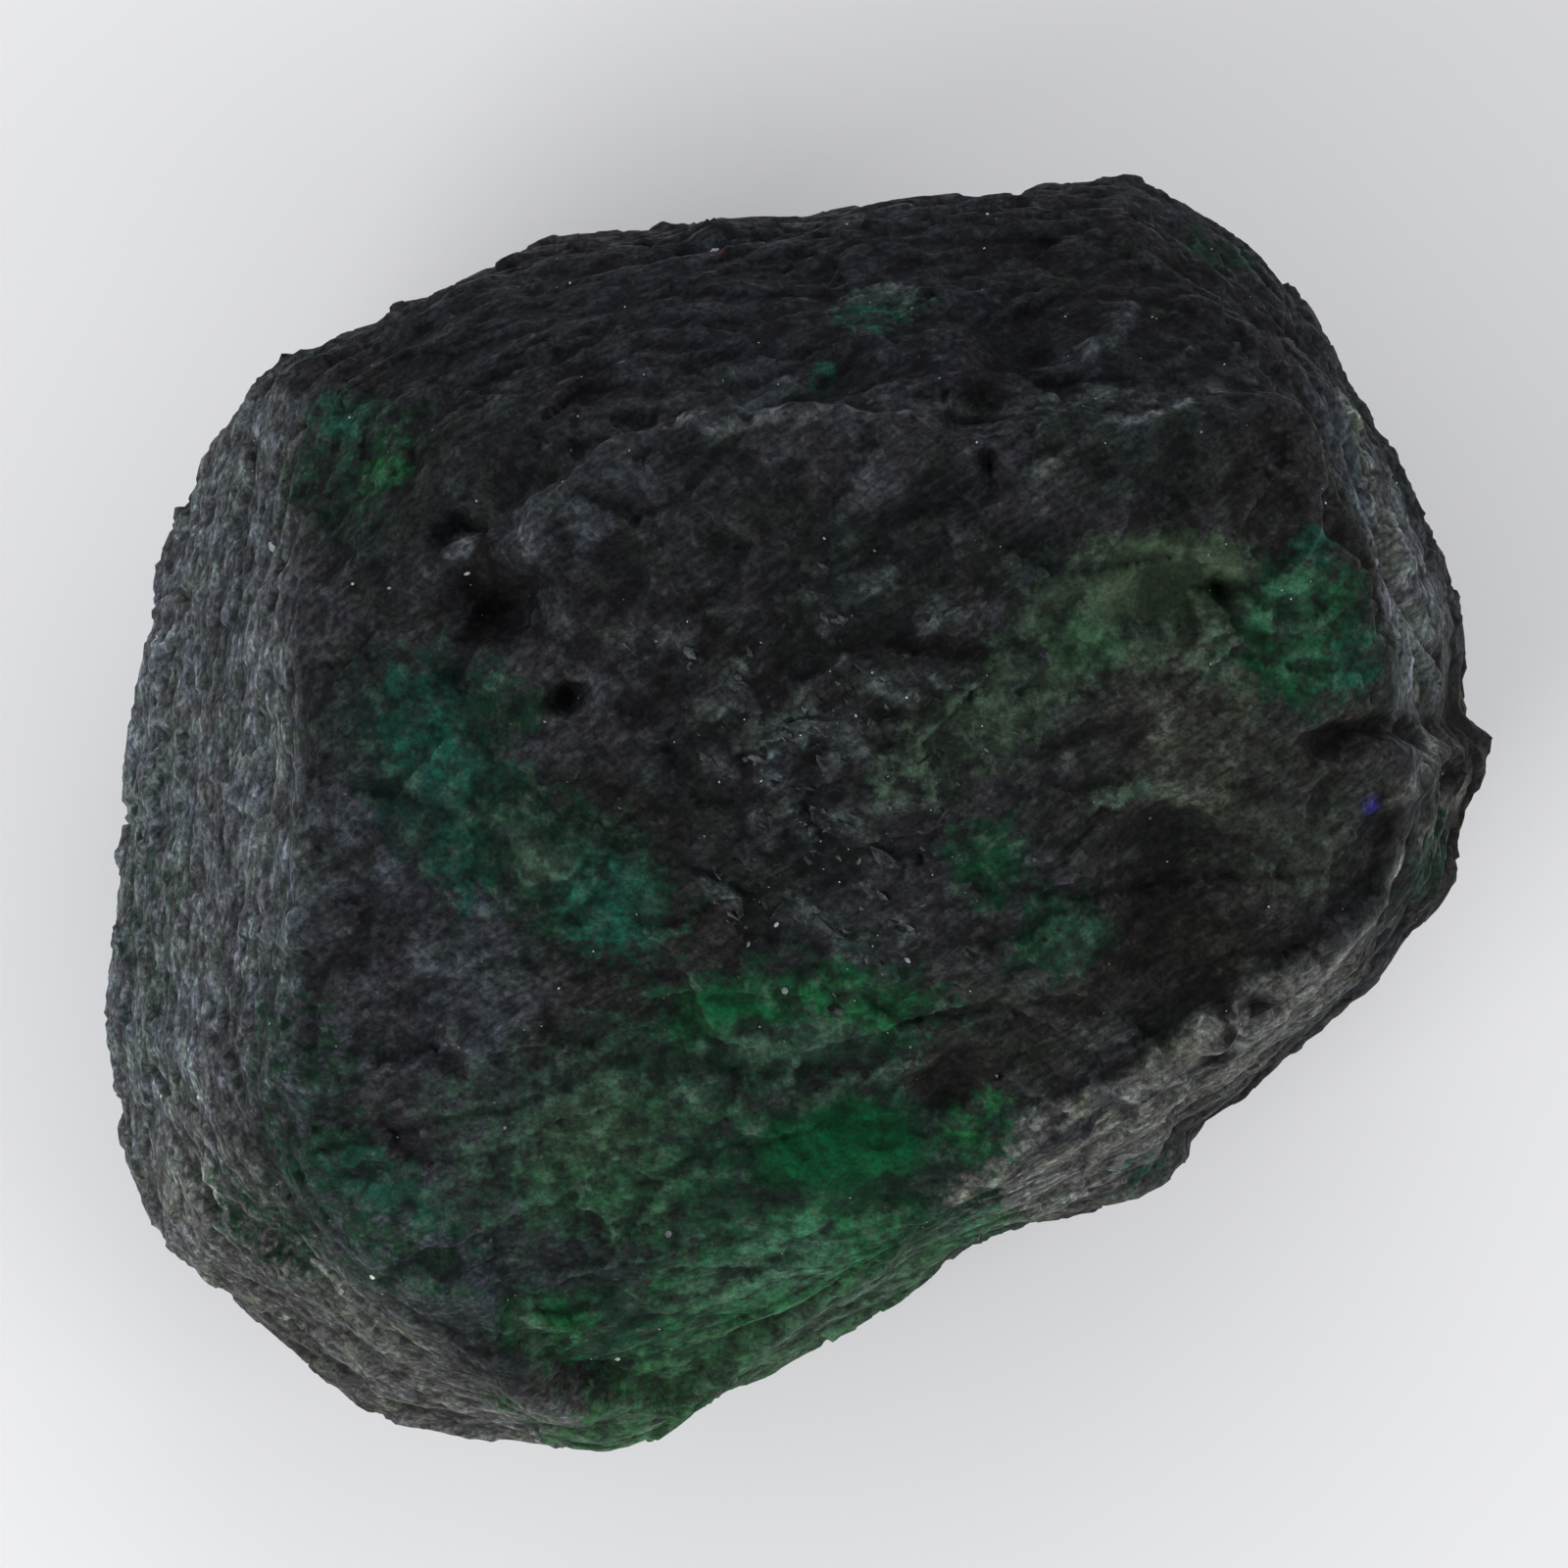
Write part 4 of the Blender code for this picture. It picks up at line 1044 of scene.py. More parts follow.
# %% Crystal in the east and the north
CRYSTALS.update({
    "olive-yellow": ((11.6, 8.0, 29.8), (4.4, 2.3, 3), 15, OLIVE_DARK, 0.85),
    "olive-yellow, north": ((13.4, 9.2, 29.8), (2.6, 1.6, 3), -10, OLIVE_GREEN, 0.7),
    "olive-yellow, west": ((9.0, 7.2, 29.8), (2.4, 1.6, 3), 30, OLIVE_DARK, 0.7),
    "olive-yellow heart": ((11.4, 8.8, 29.8), (1.8, 1.0, 3), 40, OLIVE_GREEN, 0.6),
    "olive-yellow, green part": ((10.2, 7.0, 29.8), (1.4, 1.0, 3), 0, LEAF_GREEN, 0.35),
    "mint spot": ((14.9, 6.2, 29.3), (0.7, 1.1, 2), 0, PALE_GREEN, 0.6),
    "tan rock, east": ((18.0, -0.8, 25.6), (2.5, 1.9, 3), 20, TAN_GREY, 0.6),
    "right green field": ((18.4, 7.2, 28.5), (2.9, 2.9, 3), 0, DEEP_GREEN, 0.85),
    "right green": ((18.3, 7.4, 28.5), (2.4, 2.1, 3), 0, LEAF_GREEN, 0.6),
    "right green, north": ((17.6, 8.2, 28.7), (1.3, 1.0, 3), 0, MINT, 0.65),
    "right green, south": ((17.9, 6.2, 28.4), (0.9, 0.7, 3), 0, MINT, 0.6),
    "right green heart": ((19.9, 6.3, 28.0), (1.0, 1.6, 3), -20, TEAL_GREEN, 0.6),
    "middle green": ((6.8, -0.8, 28.7), (1.7, 1.5, 3), 0, DEEP_GREEN, 0.9),
    "middle green heart": ((7.2, -1.1, 28.4), (1.2, 0.9, 3), 0, VIVID_GREEN, 0.4),
    "middle green, south": ((9.4, -3.6, 27.4), (2.2, 1.6, 3), 20, DEEP_GREEN, 0.8),
    "middle green, mint": ((10.0, -3.4, 27.2), (1.3, 0.9, 3), 30, MINT, 0.25),
    "middle olive": ((6.2, 3.6, 29.8), (3.6, 1.7, 3), 30, OLIVE_DARK, 0.8),
    "pale lens": ((11.6, 1.6, 28.6), (1.5, 0.5, 2), 8, PALE_GREEN, 0.5),
    "knob green": ((24.6, -1.4, 17), (1.9, 2.2, 5), 0, DEEP_GREEN, 0.6),
    "north-west field": ((-16.6, 13.8, 25), (3.4, 2.6, 5), 0, DEEP_GREEN, 0.5),
    "north-west heart": ((-15.0, 13.2, 27), (1.1, 1.0, 3), 0, LEAF_GREEN, 0.75),
    "north-west teal": ((-16.8, 15.4, 23), (1.4, 1.0, 3), 0, TEAL_GREEN, 0.6),
    "north teal": ((3.2, 18.9, 27), (1.7, 0.8, 3), 5, TEAL_GREEN, 0.7),
    "north teal, pale side": ((3.4, 19.4, 26.6), (1.3, 0.35, 3), 5, BLUE_DUST, 0.7),
    "north teal spot": ((1.2, 16.2, 29.7), (0.5, 0.4, 2), 0, TEAL_GREEN, 0.85),
    "north grey": ((-1.7, 15.8, 29.4), (1.9, 1.0, 2), 10, BLUE_GREY, 0.7),
    "east teal spot": ((18.5, 10.4, 28.8), (0.8, 0.45, 2), 0, TEAL_GREEN, 0.95),
    "chunk green": ((13.7, -13.2, 12.6), (1.6, 1.0, 3), 0, TEAL_GREEN, 0.4),
    "north-east tint": ((15.8, 22.3, 19.7), (2.2, 1.2, 3), 0, DEEP_GREEN, 0.4),
})
# These few are whole crystals, clear inside, where the others are crowds of small ones
CLEAR_CRYSTALS = (
    "green lens",
    "upper green heart",
    "middle green heart",
    "olive-yellow heart",
    "olive-yellow, north",
)
print("patches of crystal:", len(CRYSTALS))

# %% [markdown]
# In the middle of the crown, blades of crystal lie in the mica, and most of them run to the south-east.
# The large ones were placed one by one. The small ones are strewn by a seeded random draw, so that they
# crowd the middle, thin out towards its rim and fall in the same places on every run.

# %% Places of the blades
# Each large blade has its east, its north, its length and width, and the way that it points in degrees
LARGE_BLADES = (
    (-3.9, 6.5, 1.3, 0.60, -37), (-2.0, 5.6, 1.0, 0.55, -60), (2.8, 5.5, 2.1, 0.42, -35),
    (5.0, 7.7, 2.0, 0.42, 25), (0.6, 3.9, 2.0, 0.55, 12), (0.0, 1.2, 1.7, 0.28, 3),
    (2.3, 1.0, 1.2, 0.28, 45), (3.3, 1.1, 1.3, 0.45, -20), (3.3, -1.0, 2.2, 0.48, -48),
    (-4.8, -0.7, 1.4, 0.32, -48), (-2.7, -2.5, 1.8, 0.34, -38), (0.9, -3.2, 1.9, 0.42, -36),
    (2.4, -4.2, 1.9, 0.48, -36), (-0.5, -2.6, 1.2, 0.30, 50), (3.8, -3.4, 1.3, 0.55, -30),
    (2.6, 8.7, 0.8, 0.45, 20),
)
SMALL_BLADES = 190
BLADES_MIDDLE = (1.3, 1.8)
BLADES_SPREAD = (2.9, 3.9)
# Most blades point nearly one way, which has its own spread. The others point any way
SHARE_IN_LINE = 0.6
IN_LINE = (-38, 14)
ANY_WAY = (-90, 90)
BLADE_LENGTH = (0.25, 1.0)
BLADE_WIDTH = (0.25, 0.5)


def bladed_place():
    """An east and a north, crowded in the middle of the crown."""
    return [random.gauss(middle, spread) for middle, spread in zip(BLADES_MIDDLE, BLADES_SPREAD)]


random.seed(5)
blades = list(LARGE_BLADES)
for _ in range(SMALL_BLADES):
    east, north = bladed_place()
    turn = random.gauss(*IN_LINE) if random.random() < SHARE_IN_LINE else random.uniform(*ANY_WAY)
    length = random.uniform(*BLADE_LENGTH)
    blades.append((east, north, length, length * random.uniform(*BLADE_WIDTH), turn))
print("blades:", len(blades))

# %% [markdown]
# Lines such as a worn crest are known by their east and north only, as they are seen from above. They are
# laid on the stone by looking straight down on it. The ground under each longer blade is a short pale line.

# %% Lay lines on the stone
LINE_STEP = 1.0
ABOVE_THE_STONE = 0.1
SMUDGED_LENGTH = 0.75
SMUDGE_WIDTH = 0.7
SMUDGE_STRENGTH = (0.2, 0.75)
BLUISH_SMUDGE = (0.046, 0.056, 0.058)
surface_tree = BVHTree.FromObject(stone, bpy.context.evaluated_depsgraph_get())


def straight_down(east, north):
    """Where a line straight down meets the stone, in metres, and the way the surface faces there."""
    eye = Vector((east * MM, north * MM, ABOVE_THE_STONE))
    hit, outward, _, _ = surface_tree.ray_cast(eye, Vector((0, 0, -1)))
    return hit, outward


def on_surface(line):
    """A line of east and north places laid on the stone from above, with a point every millimetre."""
    laid = []
    for start, end in zip(line[:-1], line[1:]):
        steps = max(1, round(math.dist(start, end) / LINE_STEP))
        for east, north in np.linspace(start, end, steps + 1):
            place = straight_down(east, north)[0]
            if place is not None:
                laid.append(tuple(place / MM))
    return laid


def smudge(east, north, length, width, turn):
    """A short pale line under a blade."""
    reach = Vector((math.cos(math.radians(turn)), math.sin(math.radians(turn)))) * length / 2
    ends = ((east - reach.x, north - reach.y), (east + reach.x, north + reach.y))
    return ends, SMUDGE_WIDTH * width, BLUISH_SMUDGE, random.uniform(*SMUDGE_STRENGTH)


smudges = [smudge(*blade) for blade in blades if blade[2] > SMUDGED_LENGTH]
laid_lines = [(on_surface(points), *rest) for points, *rest in [*ROCK_LINES.values(), *smudges]]
print("points of the laid lines:", sum(len(line[0]) for line in laid_lines))

# %% [markdown]
# How deep a point lies inside a patch comes from an egg-shaped distance: 1 in the middle, 0 past the edge
# and a soft step between. Noise bends the places first, which tears the edges. A line works the same way.

# %% Shares of patches and lines
# The soft edge of a patch as a share of its size. A line is full to half its reach and gone at 1.5 of it
PATCH_EDGE = 0.85
SPOT_EDGE = 0.5
LINE_EDGE = 1.5
# How far noise pushes the edges, in millimetres, the sizes of its two parts, and the finer part's share
TEAR = 0.6
BROAD_TEAR_SIZE = 2.6
FINE_TEAR_SIZE = 0.9
FINE_TEAR = 0.6


def torn_places(places):
    """Places pushed about by noise, so that an edge drawn through them is torn."""
    bend = push(places, BROAD_TEAR_SIZE, (51, 52, 53))
    bend += FINE_TEAR * push(places, FINE_TEAR_SIZE, (54, 55, 56))
    return places + TEAR * bend


def patch_shares(places, patches, edge=PATCH_EDGE):
    """The tone and the share of each egg-shaped patch, at the given places."""
    for middle, half_size, turn, tone, strength in patches:
        turned = np.array(Matrix.Rotation(math.radians(turn), 3, "Z"))
        local = (places - np.array(middle)) @ turned / np.array(half_size)
        depth = (1 + edge / 2 - np.linalg.norm(local, axis=1)) / edge
        yield tone, strength * smooth_step(depth)


def line_shares(places, lines):
    """The tone and the share of each line, at the given places."""
    sideways = np.zeros_like(places)
    for points, reach, tone, strength in lines:
        nearest = from_line(places, sideways, points)[0]
        yield tone, strength * smooth_step(LINE_EDGE - nearest / reach)


true_places = read_rows(stone_mesh.vertices, "co") / MM
torn = torn_places(true_places)
print("noise moves the edges by, in mm:", round(np.linalg.norm(torn - true_places, axis=1).mean(), 2))

# %% [markdown]
# The patches are told to the stone's own points, as a colour attribute: its colour is the patch's tone, and
# its alpha is how much of it shows. The shader could work the patches out itself, but more than a hundred
# of them would slow down every sample.

# %% Tell the patches to the points
SPOT_TEAR = 0.3
SMALLEST_COVER = 0.02


def told(mesh, name, shares):
    """Lay tones over each other and keep them as a colour attribute, with their share as its alpha."""
    count = len(mesh.vertices)
    tones = np.zeros((count, 3))
    cover = np.zeros(count)
    for tone, share in shares:
        tones += share[:, None] * (np.array(tone) - tones)
        cover += share * (1 - cover)
    tones /= np.maximum(cover, SMALLEST_COVER)[:, None]
    attribute = mesh.color_attributes.new(name, "FLOAT_COLOR", "POINT")
    attribute.data.foreach_set("color", np.column_stack((tones, cover)).ravel())
    print(name, "covers", round(100 * cover.mean()), "% of the points")


def keep(mesh, name, values):
    """Keep one number for each point as an attribute."""
    attribute = mesh.attributes.new(name, "FLOAT", "POINT")
    attribute.data.foreach_set("value", values)
    print(name, "on average:", round(float(np.mean(values)), 2))


nearly_true = true_places + SPOT_TEAR * (torn - true_places)
zones = [*patch_shares(torn, ROCK_ZONES.values()), *line_shares(torn, laid_lines)]
told(stone_mesh, "crystal", patch_shares(torn, CRYSTALS.values()))
told(stone_mesh, "zone", [*zones, *patch_shares(nearly_true, SPOTS.values(), SPOT_EDGE)])
clear = [share for tone, share in patch_shares(torn, [CRYSTALS[name] for name in CLEAR_CRYSTALS])]
keep(stone_mesh, "clear", np.max(clear, axis=0))

# %% [markdown]
# Two more numbers go to each point. One is how deep it lies below its neighbours, which the colour uses for
# painted shade in hollows and a paler tone on ridges, and the other is how steeply the surface cuts across
# the layers.

# %% Hollows and steep sides
DEEP_HOLLOW = 0.07
HOLLOW_ROUNDS = 4
# 0 where the surface lies nearly along the layers, then rising to 1 well before it cuts straight across
STEEP_START = 1.6
STEEP_CHANGE = 2


def hollowness(mesh, places, outward, rounds):
    """How far each point lies below its neighbours, from about -1 to 1, averaged over some rounds."""
    edges = np.array([edge.vertices for edge in mesh.edges])
    ends = np.bincount(edges.ravel(), minlength=len(places))
    smooth = places
    for _ in range(rounds):
        total = np.zeros_like(smooth)
        np.add.at(total, edges[:, 0], smooth[edges[:, 1]])
        np.add.at(total, edges[:, 1], smooth[edges[:, 0]])
        smooth = total / ends[:, None]
    depth = ((smooth - places) * outward).sum(axis=1)
    return np.clip(depth / DEEP_HOLLOW, -1, 1)


outward = read_rows(stone_mesh.vertex_normals, "vector")
keep(stone_mesh, "hollow", hollowness(stone_mesh, true_places, outward, HOLLOW_ROUNDS))
along_layers = np.abs(outward @ np.array(LAYER_UP))
keep(stone_mesh, "steep", np.clip(STEEP_START - STEEP_CHANGE * along_layers, 0, 1))

# %% [markdown]
# The material needs three small things more: to read the numbers kept on the points, to give a tone its
# alpha, and to draw streaks. A streak is a noise that is long one way and narrow the other.

# %% Helpers for the stone
STROKES = (1.0, 3.0, 0.6)


def own_attribute(tree, name):
    """The outputs of a node that reads one of the mesh's own attributes."""
    node = tree.nodes.new("ShaderNodeAttribute")
    node.attribute_name = name
    return node.outputs


def opaque(tone):
    """A tone with the alpha that a colour socket wants."""
    return (*tone, 1)


def strokes(tree, places, run):
    """A noise that runs along a level line, like the strokes of a brush."""
    turn, length, width = run
    turned = mapped(tree, places, (length, width, width), (0.0, 0.0, turn), "TEXTURE")
    return noise_pattern(tree, turned, *STROKES)


print("kept on the points:", [item.name for item in stone_mesh.attributes if item.domain == "POINT"])

# %% [markdown]
# The schist starts as three dark tones that drift into each other. Over them lie the zones, then small
# tinted clouds, then fine streaks in the two ways that mica and blades run on this stone. Steep sides
# show the layers' edges as pale threads and dark laminae. All of it is noise at different sizes, because
# one noise alone looks like smoke and not like rock.

# %% Colour of the rock
# A noise has its scale, its detail and its roughness
DRIFT = (0.16, 2.0, 0.55)
MOTTLE = (0.7, 2.0, 0.5)
# A run is the turn from the east of a pattern along a line, then its length and its width in millimetres
BLADE_RUN = (math.radians(-42), 0.9, 0.30)
STREAK_RUN = (math.radians(32), 1.1, 0.26)
LAMINA_RUN = (math.radians(86), 2.4, 0.30)
# A span is where a pattern starts and where it is full, then the share or the factor at each end
GREENER = (0.43, 0.57, 0.0, 1.0)
BROWNER = (0.47, 0.62, 0.0, 0.6)
TINTED = (0.46, 0.64, 0.0, 1.0)
BLADE_TONES = (0.36, 0.64, 0.82, 1.22)
STREAK_TONES = (0.38, 0.62, 0.70, 1.36)
PALE_THREADS = (0.44, 0.70, 0.0, 1.0)
DARK_THREADS = (0.30, 0.54, 0.74, 1.06)
LAMINA_TONES = (0.38, 0.62, 0.62, 1.42)
GRAIN_TONES = (0.30, 0.70, 0.55, 1.5)
# How much a pale thread or a pale grain adds to the tone
THREAD_PALENESS = 0.3
GRAIN_PALENESS = 0.6
NO_CHANGE = (1, 1, 1, 1)


def rock_colour(tree, places, grain, steep):
    """The schist: drifting dark tones, zones, tints and streaks, with threads and laminae on steep sides."""
    broad = channels(tree, noise_pattern(tree, places, *DRIFT, "Color"))
    small = channels(tree, noise_pattern(tree, places, *MOTTLE, "Color"))
    rock = blend(tree, between(tree, broad["Red"], *GREENER), opaque(PURPLE_GREY), opaque(GREEN_BLACK))
    rock = blend(tree, between(tree, broad["Green"], *BROWNER), rock, opaque(BROWN_BLACK))
    zone = own_attribute(tree, "zone")
    rock = blend(tree, zone["Alpha"], rock, zone["Color"])
    for channel, tint in (("Red", DUSTY_TINT), ("Green", OLIVE_TINT), ("Blue", BROWN_TINT)):
        rock = blend(tree, between(tree, small[channel], *TINTED), rock, tint, "MULTIPLY")
    rock = toned(tree, rock, strokes(tree, places, BLADE_RUN), BLADE_TONES)
    rock = toned(tree, rock, strokes(tree, places, STREAK_RUN), STREAK_TONES)
    pale_threads = arithmetic(tree, "MULTIPLY", between(tree, grain["Threads"], *PALE_THREADS), steep)
    dark_threads = between(tree, grain["Threads"], *DARK_THREADS)
    threads = arithmetic(tree, "MULTIPLY_ADD", pale_threads, THREAD_PALENESS, dark_threads)
    rock = vector_arithmetic(tree, "SCALE", rock, threads)
    laminae = between(tree, strokes(tree, places, LAMINA_RUN), *LAMINA_TONES)
    rock = blend(tree, 1.0, rock, blend(tree, steep, NO_CHANGE, laminae), "MULTIPLY")
    speckle = between(tree, grain["Speckle"], *GRAIN_TONES)
    speckle = arithmetic(tree, "MULTIPLY_ADD", grain["Pale Grains"], GRAIN_PALENESS, speckle)
    return vector_arithmetic(tree, "SCALE", rock, speckle)


print("widths of the streaks, in mm:", BLADE_RUN[2], STREAK_RUN[2], LAMINA_RUN[2])

# %% [markdown]
# Beryl in schist is full of cracks, so it looks cloudy: some clouds are paler, some nearly black. The few
# whole crystals are clear inside, and they show their own tone with little change. Real clear crystal
# could be made with transmission, but here no light comes through it, so it is coloured like the rest.

# %% Colour of the crystal
CLOUDS = (1.15, 5.0, 0.68)
CRACKED_PALE = (0.46, 0.70, 0.0, 0.65)
CRACKED_DARK = (0.48, 0.64, 0.0, 0.75)
CLOUD_TONES = (0.32, 0.68, 0.45, 1.65)
EVEN_TONES = (0.32, 0.68, 0.75, 1.2)
CRYSTAL_GRAIN = (0.30, 0.70, 0.7, 1.35)
EVENNESS = 0.9


def crystal_colour(tree, places, tone, clear, speckle):
    """The beryl: cloudy with cracks, paler in some clouds and darker in others, but even where clear."""
    parts = channels(tree, noise_pattern(tree, places, *CLOUDS, "Color"))
    cracked = blend(tree, between(tree, parts["Green"], *CRACKED_PALE), tone, opaque(PALE_GREEN))
    cracked = blend(tree, between(tree, parts["Blue"], *CRACKED_DARK), cracked, opaque(GREEN_BLACK))
    cracked = toned(tree, cracked, parts["Red"], CLOUD_TONES)
    even = toned(tree, tone, parts["Red"], EVEN_TONES)
    beryl = blend(tree, arithmetic(tree, "MULTIPLY", clear, EVENNESS), cracked, even)
    return toned(tree, beryl, speckle, CRYSTAL_GRAIN)


print("size of the clouds, in mm:", round(1 / CLOUDS[0], 2))

# %% [markdown]
# The crystal is laid over the rock where its share is more than a ragged noise, so its edge is torn at a
# finer scale than the points are. Hollows are darkened as painted shade and ridges made paler, partly as wear
# and partly as painted highlight, and a thin film of mica dust greys it all a little. The grains' faces are
# shinier than the rock between them, so the roughness follows the grain. The gloss itself is kept low,
# because a broken stone is matt.

# %% Material of the stone
CLEAR_SPAN = (0.30, 0.65)
RAGGED_EDGE = (1.5, 4.0, 0.68)
VEIL = (0.32, 0.68, 0.08, 0.92)
CRYSTAL_EDGE = (-0.38, 0.34)
HOLLOW_SHADE_TONES = (-0.9, 0.9, 1.15, 0.5)
SPECKLE_SPAN = (0.3, 0.7)
# Roughness where the speckle is dark and where it is pale, gloss and strength of the bump
STONE_FINISH = ((0.50, 0.32), 0.01, 0.7)


def finish_surface(tree, surface, colour, grain, finish):
    """Give the shader its colour, a roughness and a bump that follow the grain, and its gloss."""
    (rough_dark, rough_pale), gloss, strength = finish
    feed(tree, colour, surface.inputs["Base Color"])
    rough = between(tree, grain["Speckle"], *SPECKLE_SPAN, rough_dark, rough_pale)
    feed(tree, rough, surface.inputs["Roughness"])
    surface.inputs["Specular IOR Level"].default_value = gloss
    bump = add_node(tree, "ShaderNodeBump", Strength=strength, Distance=MM, Height=grain["Height"])
    feed(tree, bump.outputs["Normal"], surface.inputs["Normal"])


def stone_material():
    """Dark mica schist with green beryl grown through it."""
    material, tree, surface, places = new_material("schist_and_beryl")
    steep = own_attribute(tree, "steep")["Fac"]
    clear = between(tree, own_attribute(tree, "clear")["Fac"], *CLEAR_SPAN)
    grain = grain_in(tree, places, 1.0, steep)
    rock = rock_colour(tree, places, grain, steep)

    crystal = own_attribute(tree, "crystal")
    beryl = crystal_colour(tree, places, crystal["Color"], clear, grain["Speckle"])
    veil = between(tree, noise_pattern(tree, places, *RAGGED_EDGE), *VEIL)
    inside = arithmetic(tree, "SUBTRACT", crystal["Alpha"], veil)
    mask = arithmetic(tree, "MAXIMUM", between(tree, inside, *CRYSTAL_EDGE), clear)
    colour = blend(tree, mask, rock, beryl)

    # Painted shade darkens the hollows, and ridges are made paler, partly as painted highlight
    colour = toned(tree, colour, own_attribute(tree, "hollow")["Fac"], HOLLOW_SHADE_TONES)
    dusty = blend(tree, DUST_SHARE, colour, opaque(MICA_DUST))
    finish_surface(tree, surface, dusty, grain, STONE_FINISH)
    return material


stone_mesh.materials.clear()
stone_mesh.materials.append(stone_material())
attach(stone, "root")
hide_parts("emerald_stone")
print("nodes in the stone's material:", len(stone_mesh.materials[0].node_tree.nodes))

# %% [markdown]
# In the middle of the crown small blades of crystal lie in the mica. A pattern could draw them, but their
# flat sides catch the light from one side only, so they are real pieces: balls of twenty faces, stretched
# and made uneven, and sunk into the surface so that only their backs show.

# %% Lay the blades
BLADE_LEAN = 0.2
BLADE_TILT = 0.12
BLADE_THICKNESS = 0.45
BLADE_SUNK = 0.16
SHARD_UNEVEN = 0.1
SHARD_FACES = 20


def blade_on(body, east, north, length, width, turn):
    """One long shard lying in the surface, a little sunk, pointing the way that the turn says."""
    place, outward = straight_down(east, north)
    if place is None:
        return
    outward = (outward + Vector((random.gauss(0, BLADE_LEAN), random.gauss(0, BLADE_LEAN), 0))).normalized()
    level = (math.cos(math.radians(turn)), math.sin(math.radians(turn)))
    along = Vector((*level, random.gauss(0, BLADE_TILT)))
    along = (along - along.dot(outward) * outward).normalized()
    axes = Matrix((outward.cross(along), outward, along)).transposed().to_4x4()
    stretch = Matrix.Diagonal((width * MM, BLADE_THICKNESS * width * MM, length * MM, 1))
    middle = Matrix.Translation(place - BLADE_SUNK * width * MM * outward)
    made = bmesh.ops.create_icosphere(body, subdivisions=1, radius=0.5, matrix=middle @ axes @ stretch)
    for corner in made["verts"]:
        uneven = Vector((random.gauss(0, 1), random.gauss(0, 1), random.gauss(0, 1)))
        corner.co += SHARD_UNEVEN * width * MM * uneven


def finished_piece(name, body):
    """A bmesh of many small closed shapes as a piece in the scene, with its faces pointing out."""
    bmesh.ops.recalc_face_normals(body, faces=body.faces)
    return in_scene(name, as_mesh(body, name))


shards = bmesh.new()
for blade in blades:
    blade_on(shards, *blade)
crystal_blades = finished_piece("crystal_blades", shards)
print("shards laid:", len(crystal_blades.data.polygons) // SHARD_FACES)

# %% [markdown]
# The blades are the rock's own grey, some of them paler and bluish, and they are glossier than it. A slow
# noise decides which are pale, so a blade keeps nearly one tone along its length.

# %% Material of the blades
BLADE_DARK = (0.007, 0.0085, 0.0085, 1)
BLADE_PALE = (0.048, 0.060, 0.060, 1)
BLADE_FINENESS = 2.2
BLADE_SHADES = (1.7, 4.0, 0.65)
PALE_BLADES = (0.44, 0.68)
BLADE_SPECKLE = (0.3, 0.7, 0.5, 1.5)
BLADE_FINISH = ((0.38, 0.22), 0.14, 0.5)


def blade_material():
    """Blue-grey blades of crystal."""
    material, tree, surface, places = new_material("crystal_blades")
    grain = grain_in(tree, places, BLADE_FINENESS)
    shade = noise_pattern(tree, places, *BLADE_SHADES)
    tone = blend(tree, between(tree, shade, *PALE_BLADES), BLADE_DARK, BLADE_PALE)
    tone = toned(tree, tone, grain["Speckle"], BLADE_SPECKLE)
    finish_surface(tree, surface, tone, grain, BLADE_FINISH)
    return material


crystal_blades.data.materials.append(blade_material())
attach(crystal_blades, "root")
print("gloss of the blades:", BLADE_FINISH[1])

# %% [markdown]
# Single flakes of mica lie in the surface and catch the light as sharp pale points, and their pale grey
# colour is partly a painted glint. A shader can't give them from every side, so they are real plates, the
# largest about half a millimetre across. One plate is a six-sided disc. Copies of it are turned and set into
# the surface, and joined in one mesh.

# %% Bright flakes in their own places
# Each glint has its east, its north and its radius
GLINTS = (
    (-3.0, 21.7, 0.30), (4.2, 18.9, 0.17), (-19.6, 10.7, 0.26), (-11.7, 9.3, 0.17), (-15.9, 9.0, 0.10),
    (-14.5, 8.8, 0.12), (-1.8, -3.3, 0.15), (-0.7, -3.2, 0.15), (-1.7, -3.9, 0.13), (4.0, -4.5, 0.17),
    (3.1, -5.0, 0.13), (-12.8, -6.9, 0.17), (-25.0, -10.5, 0.17), (-22.9, -10.2, 0.15),
    (-15.8, -16.6, 0.18), (-11.3, -15.1, 0.16), (-10.6, -10.7, 0.13), (-6.9, -20.4, 0.26),
    (-4.7, -14.8, 0.20), (-3.1, -15.2, 0.15), (0.7, -15.3, 0.16), (7.1, 22.9, 0.13), (6.7, 3.0, 0.13),
    (12.7, 0.6, 0.12), (7.3, -8.8, 0.13), (-0.4, -5.6, 0.24),
)
GLINT_SIZE = 0.8
GLINT_TILT = 0.1
FACING_UP = 0.5
FLAKE_THICKNESS = 0.05 * MM
FLAKE_TAPER = 0.85
FLAKE_FACES = 8
# A flake is stretched by a draw from the first span one way, and by one from the second span the other way
FLAKE_LENGTH = (0.7, 1.3)
FLAKE_WIDTH = (0.5, 0.9)
BLADE_GLINTS = 44
BLADE_GLINT_RADIUS = (0.025, 0.06)
BLADE_GLINT_TILT = 0.5


